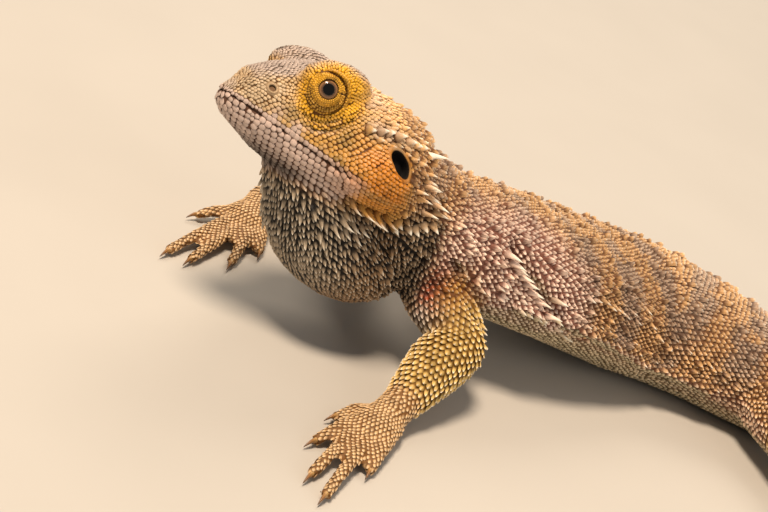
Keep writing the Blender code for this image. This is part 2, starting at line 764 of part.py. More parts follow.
def make_claws(name, collection, material):
    """One curved claw in front of each digit, its point just clear of the floor."""
    kind = limb_kind(name)
    ring_count, points = 4, 6
    for number, digit in enumerate(DIGITS[name], 1):
        _, _, tip, pointing = digit_line(name, digit)
        base = tip + pointing * GAP + Vector((0.0, 0.0, 0.0003))
        sideways = pointing.cross(Vector((0, 0, 1)))
        length = CLAW_LENGTH[kind] * (0.8 if number in (1, 5) else 1.0)
        rings = []
        for step in range(ring_count):
            share = step / (ring_count - 1)
            bend = CLAW_DROOP * share
            along = pointing * math.cos(bend) - Vector((0, 0, 1)) * math.sin(bend)
            thick = CLAW_RADIUS * (1 - share) ** 0.8 + 0.00016
            middle = base + along * length * share - base
            middle.z = max(middle.z, thick - base.z + 0.0001)
            size = thick * 0.8, thick, thick
            rings.append(oval(middle, sideways, sideways.cross(along), *size, 2.0, points))
        form = bmesh.new()
        loft(form, rings)
        bmesh.ops.triangulate(form, faces=form.faces)
        side = side_of(name)
        claw = f"claw_{SEGMENTS[kind][2]}_{side}_{number}"
        add_object(claw, form, collection, material).location = base


def centre_over_origin(collection, cutters):
    """Moves everything so that the middle of the bounding box stands on the origin."""
    bpy.context.view_layer.update()
    things = collection.objects
    corners = [thing.matrix_world @ vertex.co for thing in things for vertex in thing.data.vertices]
    low = [min(corner[axis] for corner in corners) for axis in range(3)]
    high = [max(corner[axis] for corner in corners) for axis in range(3)]
    shift = Vector(((low[0] + high[0]) / 2, (low[1] + high[1]) / 2, low[2]))
    for thing in (*collection.objects, *cutters.objects):
        thing.location -= shift


def main():
    clear_scene()
    nodes = new_collection("bearded_dragon")
    helpers = new_collection("cutters", is_helper=True)
    guide = new_collection("uncut_flesh", is_helper=True)
    materials = {name: make_material(name) for name in COLOURS}
    frame = head_frame()
    flesh = fused_flesh(frame, guide)
    add_cutters(frame, helpers)
    cut = flesh.modifiers.new("part", "BOOLEAN")
    cut.operation = "DIFFERENCE"
    cut.operand_type = "COLLECTION"
    cut.collection = helpers
    cut.solver = "EXACT"
    bpy.context.view_layer.update()
    part_flesh(flesh, frame, nodes, materials)
    bpy.data.objects.remove(flesh, do_unlink=True)
    make_tail(nodes, materials["tail"])
    make_eyes(frame, nodes, materials["eye"])
    for name in LIMBS:
        make_claws(name, nodes, materials["claw"])
    centre_over_origin(nodes, helpers)


main()
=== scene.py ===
"""The looks of a life-size bearded dragon: skin, scales, spines, lids, eyes and claws over the solids."""

import sys
import logging
import math
from collections import deque
from dataclasses import dataclass, field
from enum import Enum
from itertools import product

import bmesh
import bpy
import numpy as np
from mathutils import Matrix, Vector
from mathutils.bvhtree import BVHTree
from mathutils.kdtree import KDTree


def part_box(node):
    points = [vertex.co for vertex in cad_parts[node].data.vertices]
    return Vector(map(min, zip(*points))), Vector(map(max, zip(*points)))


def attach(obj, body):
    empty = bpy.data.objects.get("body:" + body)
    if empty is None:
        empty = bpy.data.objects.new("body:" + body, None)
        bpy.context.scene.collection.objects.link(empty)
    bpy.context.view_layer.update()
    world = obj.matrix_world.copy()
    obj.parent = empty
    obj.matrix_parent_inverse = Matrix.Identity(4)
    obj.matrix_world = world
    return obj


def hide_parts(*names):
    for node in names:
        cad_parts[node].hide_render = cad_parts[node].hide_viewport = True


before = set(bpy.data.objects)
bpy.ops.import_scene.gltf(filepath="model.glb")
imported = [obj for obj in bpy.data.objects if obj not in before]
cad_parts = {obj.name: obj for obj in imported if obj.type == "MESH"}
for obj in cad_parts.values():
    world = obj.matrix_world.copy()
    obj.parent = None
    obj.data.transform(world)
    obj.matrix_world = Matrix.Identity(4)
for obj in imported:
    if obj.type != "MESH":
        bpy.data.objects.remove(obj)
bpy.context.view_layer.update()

LOG = logging.getLogger("bearded_dragon")
MM = 0.001
FLOOR_GAP = 0.02 * MM
PATCH = 0.003
Array = np.ndarray
Triple = tuple[float, float, float]
Material = bpy.types.Material


class Slot(Enum):
    """Names of the material slots."""

    HEAD = "head_skin"
    THROAT = "throat_skin"
    BODY = "body_skin"
    LIMB = "limb_skin"
    EYE = "eye"
    CLAW = "claw"


class Side(Enum):
    """A side of the animal, with the sign of its left axis."""

    LEFT = 1
    RIGHT = -1

    @property
    def word(self) -> str:
        """The side's name as the nodes spell it."""
        return self.name.lower()

    @property
    def mirror(self) -> Array:
        """What turns places of the left side into those of this one."""
        return np.array((1.0, self.value, 1.0))


# ---- Array helpers ----
def unit(rows: Array) -> Array:
    """Rows at length 1."""
    return rows / np.maximum(np.linalg.norm(rows, axis=-1, keepdims=True), 1e-12)


def dot(first: Array, second: Array) -> Array:
    """Row by row dot product."""
    return (first * second).sum(axis=-1)


def step(low: float, high: float, values: Array) -> Array:
    """A smooth step from 0 at low to 1 at high, either way round."""
    share = np.clip((values - low) / (high - low), 0.0, 1.0)
    return share * share * (3.0 - 2.0 * share)


def hill(values: Array, centre: float, width: float) -> Array:
    """A smooth hill of height 1."""
    return np.exp(-(((values - centre) / width) ** 2))


def mottle(points: Array, size: float, seed: int) -> Array:
    """Smooth value noise.

    Args:
        points: places, in metres.
        size: the size of one cell, in metres.
        seed: picks another pattern.

    Returns:
        One number from 0 to 1 for each place.
    """
    scaled = points / size
    cell = np.floor(scaled).astype(np.int64)
    share = scaled - cell
    share = share * share * (3.0 - 2.0 * share)
    total = np.zeros(len(points))
    for corner in product((0, 1), repeat=3):
        place = cell + np.array(corner)
        x, y, z = place.T
        mixed = (x * 73856093) ^ (y * 19349663) ^ (z * 83492791) ^ (seed * 2654435761)
        mixed = ((mixed & 0xFFFFFFFF) ^ ((mixed & 0xFFFFFFFF) >> 13)) * 1274126177 & 0xFFFFFFFF
        weight = np.prod(np.where(np.array(corner) == 1, share, 1.0 - share), axis=1)
        total += weight * (mixed / 2.0**32)
    return total


def numbers_of(items: bpy.types.bpy_prop_collection, label: str, width: int = 1, kind: type = float) -> Array:
    """Reads numbers from a mesh.

    Args:
        items: its points, edges, corners or faces.
        label: what to read from each.
        width: how many numbers each holds.
        kind: their type.

    Returns:
        One number for each item, or one row where each holds several.
    """
    values = np.empty(len(items) * width, kind)
    items.foreach_get(label, values)
    return values.reshape(-1, width) if width > 1 else values


def hold(mesh: bpy.types.Mesh, numbers: dict[str, Array]) -> None:
    """Keeps numbers on a mesh, one for each point, for its finish to read.

    Args:
        mesh: the mesh.
        numbers: the numbers by name.
    """
    for label, values in numbers.items():
        column = mesh.attributes.new(label, "FLOAT", "POINT")
        column.data.foreach_set("value", np.asarray(values, np.float32).ravel())


def placed(name: str, data: bpy.types.ID) -> bpy.types.Object:
    """Puts a new object in the scene.

    Args:
        name: its name.
        data: its mesh, lamp or camera.

    Returns:
        The object.
    """
    thing = bpy.data.objects.new(name, data)
    bpy.context.scene.collection.objects.link(thing)
    return thing


def finder(places: Array | list) -> KDTree:
    """A tree that finds the nearest of some places.

    Args:
        places: those places.

    Returns:
        The tree, which numbers them in their order.
    """
    tree = KDTree(len(places))
    for index, place in enumerate(places):
        tree.insert(place, index)
    tree.balance()
    return tree


def crossed(rows: Array, columns: Array) -> tuple[Array, Array]:
    """Every row number with every column number, as two flat lists."""
    return tuple(grid.ravel() for grid in np.meshgrid(rows, columns, indexing="ij"))


def tube(rings: int, spokes: int, tips: bool = False) -> Array:
    """Triangles over rings of points, closed at both ends.

    Args:
        rings: how many rings there are.
        spokes: how many points each ring has.
        tips: True where a point for each end follows the rings, and False where the ends are flat.

    Returns:
        A row of three point numbers for each triangle.
    """
    last, end = (rings - 1) * spokes, rings * spokes
    faces = []
    for ring, spoke in product(range(rings - 1), range(spokes)):
        a, b = ring * spokes + spoke, ring * spokes + (spoke + 1) % spokes
        faces += [(a, a + spokes, b + spokes), (a, b + spokes, b)]
    if tips:
        around = [(spoke, (spoke + 1) % spokes) for spoke in range(spokes)]
        faces += [(end, a, b) for a, b in around] + [(end + 1, last + b, last + a) for a, b in around]
    else:
        for at in range(1, spokes - 1):
            faces += [(0, at, at + 1), (last, last + at + 1, last + at)]
    return np.array(faces)


def linear(code: str) -> tuple[float, float, float, float]:
    """A hex colour as the linear numbers that shaders take."""
    parts = [int(code[at : at + 2], 16) / 255 for at in (1, 3, 5)]
    return (*[part / 12.92 if part <= 0.04045 else ((part + 0.055) / 1.055) ** 2.4 for part in parts], 1.0)


# ---- Where things are ----
@dataclass(frozen=True)
class HeadFrame:
    """Axes forward, left and up at the front of the mouth, placed by the two eyes."""

    yaw: float = 1.2
    pitch: float = 10.8
    roll: float = 17.5
    eye_forward: float = -19.0 * MM
    eye_up: float = 10.2 * MM
    mouth_slope: float = 6.6 / 34.0

    def axes(self) -> Array:
        """The three axes.

        Returns:
            Forward, left and up as rows, in the part's frame.
        """
        yaw, pitch, roll = (math.radians(turn) for turn in (self.yaw, self.pitch, self.roll))
        level = math.cos(pitch)
        forward = np.array((math.sin(yaw) * level, -math.cos(yaw) * level, math.sin(pitch)))
        level_left = unit(np.cross((0.0, 0.0, 1.0), forward))
        level_up = np.cross(forward, level_left)
        left = level_left * math.cos(roll) + level_up * math.sin(roll)
        return np.array((forward, left, np.cross(forward, left)))

    def origin(self) -> Array:
        """The front of the mouth.

        Returns:
            Its place in the part's frame.
        """
        eyes = [np.array(corner) for word in ("left", "right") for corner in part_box(f"eye_{word}")]
        forward, _, up = self.axes()
        return np.mean(eyes, axis=0) - forward * self.eye_forward - up * self.eye_up

    def local(self, points: Array) -> Array:
        """Places in the part's frame as (forward, left, up)."""
        return (points - self.origin()) @ self.axes().T

    def world(self, places: Array) -> Array:
        """Places given as (forward, left, up), in the part's frame."""
        return np.asarray(places) @ self.axes() + self.origin()

    def turned(self, directions: Array) -> Array:
        """Directions given as (forward, left, up), in the part's frame."""
        return np.asarray(directions) @ self.axes()

    def over_mouth(self, places: Array) -> Array:
        """How far each local place lies above the mouth line."""
        return places[..., 2] - np.minimum(places[..., 0], 0.0) * self.mouth_slope


def node_points(name: str) -> Array:
    """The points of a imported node."""
    return numbers_of(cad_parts[name].data.vertices, "co", 3)


TRUNK = ("neck", "trunk_front", "trunk_middle", "trunk_rear")
TAIL = tuple(f"tail_{number}" for number in range(1, 6))
LIMBS = (("upper_arm", "forearm", "hand"), ("thigh", "shank", "foot"))
PAWS = ("hand_left", "hand_right", "foot_left", "foot_right")


@dataclass
class Skeleton:
    """The line through each length of flesh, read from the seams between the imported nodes."""

    touching: float = 0.9 * MM
    head: HeadFrame = field(default_factory=HeadFrame)
    bones: dict[str, tuple[Array, Array]] = field(default_factory=dict)

    def seam(self, name: str, *others: str) -> Array:
        """The middle of the face where a node meets any of the others.

        Args:
            name: the node.
            others: the nodes it may meet.

        Returns:
            The place.
        """
        tree = finder(np.concatenate([node_points(other) for other in others]))
        points = node_points(name)
        near = [point for point in points if tree.find(point)[2] < self.touching]
        return np.mean(near if near else points, axis=0)

    def build(self) -> None:
        """Fills bones with (start, end) of every node of flesh."""
        line = [*TRUNK, *TAIL]
        joints = [self.seam("neck", "head")]
        joints += [self.seam(first, second) for first, second in zip(line, line[1:])]
        tip = node_points(line[-1])
        joints.append(tip[tip[:, 1].argmax()])
        for name, start, end in zip(line, joints, joints[1:]):
            self.bones[name] = (start, end)
        front = self.head.origin()
        self.bones["head"] = (front, joints[0])
        self.bones["lower_jaw"] = (front, self.head.world((-34 * MM, 0.0, -6.6 * MM)))
        chin, throat = (-24 * MM, 0.0, -8 * MM), (-44 * MM, 0.0, -40 * MM)
        self.bones["beard"] = (self.head.world(chin), self.head.world(throat))
        for nodes in LIMBS:
            for side in Side:
                upper, lower, paw = (f"{node}_{side.word}" for node in nodes)
                root = self.seam(upper, "trunk_front" if "arm" in upper else "trunk_rear")
                bend, end = self.seam(upper, lower), self.seam(lower, paw)
                claws = [np.mean(node_points(name), axis=0) for name in claw_names(paw)]
                self.bones[upper], self.bones[lower] = (root, bend), (bend, end)
                self.bones[paw] = (end, np.mean(claws, axis=0))

    def direction(self, name: str) -> Array:
        """The way a bone points, away from the head or the trunk."""
        start, end = self.bones[name]
        return unit(end - start)

    def around(self, name: str, points: Array) -> tuple[Array, Array]:
        """Unrolls a bone.

        Args:
            name: the bone.
            points: places on its flesh.

        Returns:
            The turn round the bone and the share of its length, each mostly from 0 to 1.
        """
        start, end = self.bones[name]
        along = unit(end - start)
        across = unit(np.cross(along, (0.0, 0.0, 1.0) if abs(along[2]) < 0.8 else (0.0, 1.0, 0.0)))
        above = np.cross(across, along)
        offset = points - start
        turn = np.arctan2(offset @ across, offset @ above) / math.tau + 0.5
        return turn, (offset @ along) / np.linalg.norm(end - start)

    def trunk_line(self, share: float) -> tuple[Array, Array]:
        """Follows the middle of the trunk.

        Args:
            share: how far along it, from 0 to 1.

        Returns:
            The place there, and the way backwards.
        """
        joints = [self.bones[name][0] for name in TRUNK[1:]] + [self.bones[TAIL[0]][0]]
        at = share * (len(joints) - 1)
        index = min(int(at), len(joints) - 2)
        before, start = joints[max(index - 1, 0)], joints[index]
        end, after = joints[index + 1], joints[min(index + 2, len(joints) - 1)]
        part = at - index
        slope_a, slope_b = (end - before) / 2, (after - start) / 2
        place = (
            start * (2 * part**3 - 3 * part**2 + 1)
            + slope_a * (part**3 - 2 * part**2 + part)
            + end * (3 * part**2 - 2 * part**3)
            + slope_b * (part**3 - part**2)
        )
        return place, unit(slope_a * (1 - part) + slope_b * part)


def claw_names(paw: str) -> list[str]:
    """The claws of a hand or foot."""
    return sorted(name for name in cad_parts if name.startswith(f"claw_{paw}_"))


# ---- Scale kinds ----
@dataclass(frozen=True)
class ScaleKind:
    """The make of one region's scales. Heights are shares of the width, and cover is a share of the pitch."""

    across: float
    ratio: float = 1.15
    keel: float = 0.5
    lift: float = 0.3
    point: float = 0.6
    dome: float = 0.3
    cover: float = 1.4
    unruly: float = 0.04
    ranks: float = 0.0

    def row(self) -> tuple[float, ...]:
        """The sizes in the order of the columns below."""
        return tuple(getattr(self, name) for name in KIND_COLUMNS)


KIND_COLUMNS = ("across", "ratio", "keel", "lift", "point", "dome", "cover", "unruly", "ranks")
COLUMN = {name: number for number, name in enumerate(KIND_COLUMNS)}
BACK_SCALE = ScaleKind(1.42 * MM, 1.10, 0.80, 0.20, 0.90, 0.24, 1.32, 0.09)
ARM_SCALE = ScaleKind(1.74 * MM, 1.20, 0.95, 0.34, 1.00, 0.10, 1.60, 0.03)
KINDS = {
    "head": ScaleKind(1.16 * MM, 1.08, 0.25, 0.12, 0.35, 0.12, 1.26, 0.07, 1.0),
    "lower_jaw": ScaleKind(1.50 * MM, 1.15, 0.04, 0.03, 0.10, 0.12, 1.14, 0.03, 1.0),
    "beard": ScaleKind(1.08 * MM, 1.78, 0.95, 0.44, 1.00, 0.12, 1.45, 0.11),
    "neck": ScaleKind(1.30 * MM, 1.12, 0.80, 0.28, 0.95, 0.22, 1.38, 0.10),
    "trunk": BACK_SCALE,
    "tail_1": ScaleKind(1.75 * MM, 1.25, 0.90, 0.34, 0.90, 0.22, 1.50, 0.05),
    "tail_2": ScaleKind(1.60 * MM, 1.30, 0.95, 0.34, 0.90, 0.22, 1.50, 0.03),
    "tail_3": ScaleKind(1.40 * MM, 1.35, 0.95, 0.34, 0.90, 0.22, 1.50, 0.02),
    "tail_4": ScaleKind(1.10 * MM, 1.40, 0.95, 0.32, 0.90, 0.22, 1.50, 0.02),
    "tail_5": ScaleKind(0.82 * MM, 1.45, 0.90, 0.30, 0.90, 0.22, 1.50, 0.02),
    "upper_arm": ScaleKind(1.55 * MM, 1.12, 0.90, 0.24, 0.95, 0.12, 1.48, 0.03),
    "forearm": ARM_SCALE,
    "hand": ScaleKind(1.20 * MM, 1.12, 0.45, 0.11, 0.80, 0.12, 1.50, 0.04),
    "thigh": ARM_SCALE,
    "shank": ARM_SCALE,
    "foot": ScaleKind(1.20 * MM, 1.12, 0.45, 0.11, 0.80, 0.12, 1.50, 0.04),
}


def kind_of(node: str) -> ScaleKind:
    """The kind of scale on a node of flesh."""
    return KINDS.get(node) or KINDS[node.rsplit("_", 1)[0]]


# ---- Colour finishes ----
@dataclass(frozen=True)
class Tint:
    """One skin colour: on the raised part of a scale, and in the gaps, where the deep colour is partly the
    skin's own darker colour and partly painted shade.
    """

    name: str
    light: str
    deep: str


GROUND = Tint("ground", "#ebb878", "#6f4520")
TINTS = (
    Tint("blotch", "#b59c8a", "#564236"),
    Tint("flank", "#fbdcc8", "#7a4e40"),
    Tint("belly", "#d8c6a4", "#6a5a3e"),
    Tint("ochre", "#e4bf72", "#76531d"),
    Tint("paw", "#dfb988", "#7a5229"),
    Tint("ash", "#c9c0b5", "#54473e"),
    Tint("rust", "#a8431e", "#48180a"),
    Tint("beard", "#b3a189", "#0a0603"),
    Tint("umber", "#94704a", "#0f0703"),
    Tint("cheek", "#d4a254", "#704112"),
    Tint("olive", "#957838", "#3d2a0a"),
    Tint("snout", "#cbb08c", "#6b4822"),
    Tint("crown", "#b5a297", "#65503e"),
    Tint("jaw", "#d0b8ac", "#5c3c2a"),
    Tint("orange", "#d07e1c", "#4a2208"),
    Tint("yellow", "#efb122", "#643a04"),
    # pit: near-black painted shade for the ear and nostril pits, the creases, the mouth slit, under the jaw
    # and round the eyes; on the lids it also makes dark flecks of their own colour.
    Tint("pit", "#080504", "#050303"),
)
SHADE_ROWS = ("rise", "shade", "pale")


# ---- Shader expressions ----
class Wire:
    """A node socket that stands in an expression and adds its own nodes."""

    def __init__(self, dress: "Dress", socket: bpy.types.NodeSocket) -> None:
        """Wraps an output socket of a node tree."""
        self.dress = dress
        self.socket = socket

    def __add__(self, other: "Wire | float") -> "Wire":
        """Sum."""
        return self.dress.math("ADD", self, other)

    __radd__ = __add__

    def __sub__(self, other: "Wire | float") -> "Wire":
        """Difference."""
        return self.dress.math("SUBTRACT", self, other)

    def __rsub__(self, other: float) -> "Wire":
        """Difference, the other way round."""
        return self.dress.math("SUBTRACT", other, self)

    def __mul__(self, other: "Wire | float") -> "Wire":
        """Product."""
        return self.dress.math("MULTIPLY", self, other)

    __rmul__ = __mul__

    def clamped(self) -> "Wire":
        """The value kept from 0 to 1."""
        return self.dress.math("ADD", self, 0.0, clamp=True)

    def stepped(self, low: float, high: float) -> "Wire":
        """A smooth step from 0 at low to 1 at high."""
        sockets = {"Value": self, "From Min": low, "From Max": high}
        return self.dress.wire("ShaderNodeMapRange", "Result", {"interpolation_type": "SMOOTHSTEP"}, sockets)


class Dress:
    """One material and the nodes in it."""

    def __init__(self, name: str) -> None:
        """Starts a material with an empty tree but for its output.

        Args:
            name: the material's name.
        """
        self.material = bpy.data.materials.new(name)
        self.material.use_nodes = True
        self.tree = self.material.node_tree
        self.tree.nodes.clear()

    def node(self, kind: str, settings: dict | None = None, sockets: dict | None = None) -> bpy.types.Node:
        """Adds a node.

        Args:
            kind: the node's type.
            settings: its own settings, set first; "stops" fills a colour ramp.
            sockets: the values or wires of its inputs, by name or number.

        Returns:
            The node.
        """
        made = self.tree.nodes.new(kind)
        for name, value in (settings or {}).items():
            if name == "stops":
                while len(made.color_ramp.elements) < len(value):
                    made.color_ramp.elements.new(1.0)
                for element, (place, colour) in zip(made.color_ramp.elements, value):
                    element.position, element.color = place, linear(colour)
            else:
                setattr(made, name, value)
        for name, value in (sockets or {}).items():
            if isinstance(value, Wire):
                self.tree.links.new(value.socket, made.inputs[name])
            else:
                made.inputs[name].default_value = value
        return made

    def wire(
        self, kind: str, output: str | int, settings: dict | None = None, sockets: dict | None = None
    ) -> Wire:
        """Adds a node and wraps one of its outputs."""
        return Wire(self, self.node(kind, settings, sockets).outputs[output])

    def math(self, operation: str, first: Wire | float, second: Wire | float, clamp: bool = False) -> Wire:
        """Adds a Math node on two values."""
        settings = {"operation": operation, "use_clamp": clamp}
        return self.wire("ShaderNodeMath", 0, settings, {0: first, 1: second})

    def attribute(self, name: str) -> Wire:
        """Reads a number that the mesh holds at each point."""
        return self.wire("ShaderNodeAttribute", "Fac", {"attribute_name": name})

    def noise(self, size: float, detail: float = 3.0) -> Wire:
        """Noise of a given feature size in metres.

        Args:
            size: that size.
            detail: how many finer layers it has.

        Returns:
            The noise, from 0 to 1.
        """
        place = self.wire("ShaderNodeTexCoord", "Object")
        placed = self.wire("ShaderNodeMapping", 0, None, {"Vector": place})
        sockets = {"Vector": placed, "Scale": 1.0 / size, "Detail": detail, "Roughness": 0.55}
        return self.wire("ShaderNodeTexNoise", 0, None, sockets)

    def blend(self, share: Wire | float, first: Wire | tuple, second: Wire | tuple, way: str = "MIX") -> Wire:
        """Mixes two colours by a share."""
        settings = {"data_type": "RGBA", "blend_type": way}
        return self.wire("ShaderNodeMix", 2, settings, {0: share, 6: first, 7: second})

    def bump(self, height: Wire, depth: float, strength: float) -> Wire:
        """A Bump node for the shader's normal."""
        sockets = {"Height": height, "Distance": depth, "Strength": strength}
        return self.wire("ShaderNodeBump", 0, None, sockets)

    def finish(self, sockets: dict) -> Material:
        """Adds the surface shader.

        Args:
            sockets: its inputs.

        Returns:
            The finished material.
        """
        shader = self.node("ShaderNodeBsdfPrincipled", None, sockets)
        self.node("ShaderNodeOutputMaterial", None, {"Surface": Wire(self, shader.outputs[0])})
        return self.material


@dataclass(frozen=True)
class ScalyFinish:
    """The skin's finish: tints laid over each other, dark in the gaps, which is partly the skin's own colour
    and partly painted shade, and pale along the keels and at the tips, which is partly a painted highlight
    along the keels.
    """

    name: str = "scaly_skin"
    keel_colour: str = "#f6eedd"
    keel_share: float = 0.85
    grain: float = 0.16 * MM
    patch: float = 2.6 * MM
    dull: float = 0.62
    shine: float = 0.34

    def make(self) -> Material:
        """Builds the material.

        Returns:
            The material.
        """
        dress = Dress(self.name)
        rise, shade, pale = (dress.attribute(name) for name in SHADE_ROWS)
        light, deep = linear(GROUND.light), linear(GROUND.deep)
        for tint in TINTS:
            mask = dress.attribute(tint.name)
            light = dress.blend(mask, light, linear(tint.light))
            deep = dress.blend(mask, deep, linear(tint.deep))
        patches = dress.noise(self.patch)
        fine = dress.noise(self.grain, 2.0)
        raised = (rise + (patches - 0.5) * 0.30 + (fine - 0.5) * 0.22).clamped()
        # Deep colour at the roots and in the gaps, partly the skin's own darker colour and partly painted
        # shade; light colour on the raised parts.
        colour = dress.blend(raised.stepped(0.05, 0.70), deep, light)
        # Pale tips are the scales' own colour; the pale line along each keel is a painted highlight.
        pale_and_highlight = raised.stepped(0.60, 0.95) * pale * self.keel_share
        colour = dress.blend(pale_and_highlight.clamped(), colour, linear(self.keel_colour))
        tone = (shade * 0.30 + patches * 0.60 + 0.62).clamped()
        grey = dress.wire("ShaderNodeCombineColor", 0, None, {0: tone, 1: tone, 2: tone})
        colour = dress.blend(1.0, colour, grey, "MULTIPLY")
        rough = self.dull - (self.dull - self.shine) * raised
        rough = rough + (fine - 0.5) * 0.16 + dress.attribute("pit") * 0.4
        sockets = {
            "Base Color": colour,
            "Roughness": rough,
            "Normal": dress.bump(fine, 0.05 * MM, 0.35),
            "Specular IOR Level": 0.32,
        }
        return dress.finish(sockets)


@dataclass(frozen=True)
class EyeFinish:
    """A dark pupil in a copper iris under a wet surface, with a painted shadow of the lids beyond the iris.
    """

    name: str = "wet_eye"
    pupil: float = 0.335
    iris: float = 0.62

    def make(self) -> Material:
        """Builds the material. The mesh holds ring, the distance from the middle of the pupil.

        Returns:
            The material.
        """
        dress = Dress(self.name)
        ring = dress.attribute("ring")
        fibres = dress.noise(0.34 * MM, 4.0)
        wavy = ring + (fibres - 0.5) * 0.05
        stops = [(0.0, "#2c180c"), (0.30, "#70451f"), (0.65, "#9a6c3c"), (1.0, "#3a2212")]
        tone = dress.wire("ShaderNodeValToRGB", 0, {"stops": stops}, {0: wavy.stepped(self.pupil, self.iris)})
        streaky = dress.blend((fibres * 0.45).clamped(), tone, linear("#8a7460"))
        # Painted shadow of the lids: the ball turns near black beyond the iris, at the edge of the opening.
        outer = dress.blend(wavy.stepped(self.iris - 0.05, self.iris + 0.03), streaky, linear("#160d07"))
        colour = dress.blend(wavy.stepped(self.pupil + 0.03, self.pupil - 0.02), outer, linear("#030202"))
        return dress.finish({"Base Color": colour, "Roughness": 0.06, "Specular IOR Level": 0.5})


@dataclass(frozen=True)
class ClawFinish:
    """Horn, amber at the root and dark at the point."""

    name: str = "claw_horn"

    def make(self) -> Material:
        """Builds the material. The mesh holds rise, from root to point.

        Returns:
            The material.
        """
        dress = Dress(self.name)
        rise = dress.attribute("rise")
        streaks = dress.noise(0.5 * MM, 3.0)
        stops = [(0.0, "#c8a468"), (0.5, "#94683a"), (1.0, "#4a2e18")]
        share = (rise + (streaks - 0.5) * 0.3).clamped()
        colour = dress.wire("ShaderNodeValToRGB", 0, {"stops": stops}, {0: share})
        rough, bump = 0.28 + streaks * 0.2, dress.bump(streaks, 0.04 * MM, 0.3)
        return dress.finish({"Base Color": colour, "Roughness": rough, "Normal": bump})


@dataclass(frozen=True)
class FloorFinish:
    """Pale paper with the faintest mottle."""

    name: str = "pale_floor"

    def make(self) -> Material:
        """Builds the material.

        Returns:
            The material.
        """
        dress = Dress(self.name)
        cloud = dress.noise(60 * MM, 2.0)
        colour = dress.blend(cloud, linear("#b8b3ac"), linear("#bfbab3"))
        return dress.finish({"Base Color": colour, "Roughness": 0.9})


# ---- Meshes ----
@dataclass
class Shape:
    """Points, triangles, numbers held at the points, and one UV pair for each corner."""

    points: Array
    faces: Array
    numbers: dict[str, Array]
    flat: Array | None = None
    corners: Array | None = None

    def piece(self, name: str, material: Material, slot: Slot) -> bpy.types.Object:
        """Makes the object.

        Args:
            name: the piece's name.
            material: its finish.
            slot: not used.

        Returns:
            The object, riding on the body.
        """
        mesh = bpy.data.meshes.new(name)
        count, size = self.faces.shape
        mesh.vertices.add(len(self.points))
        mesh.vertices.foreach_set("co", self.points.astype(np.float32).ravel())
        mesh.loops.add(count * size)
        mesh.loops.foreach_set("vertex_index", self.faces.astype(np.int32).ravel())
        mesh.polygons.add(count)
        mesh.polygons.foreach_set("loop_start", np.arange(0, count * size, size, dtype=np.int32))
        smooth = np.ones(count, bool) if self.flat is None else ~self.flat
        mesh.polygons.foreach_set("use_smooth", smooth)
        mesh.update(calc_edges=True)
        hold(mesh, self.numbers)
        if self.corners is not None:
            layer = mesh.uv_layers.new(name="OFBake")
            layer.data.foreach_set("uv", self.corners.astype(np.float32).ravel())
        mesh.validate()
        mesh.materials.append(material)
        thing = placed(name, mesh)
        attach(thing, "root")
        LOG.info("%s: %d points, %d faces", name, len(self.points), count)
        return thing


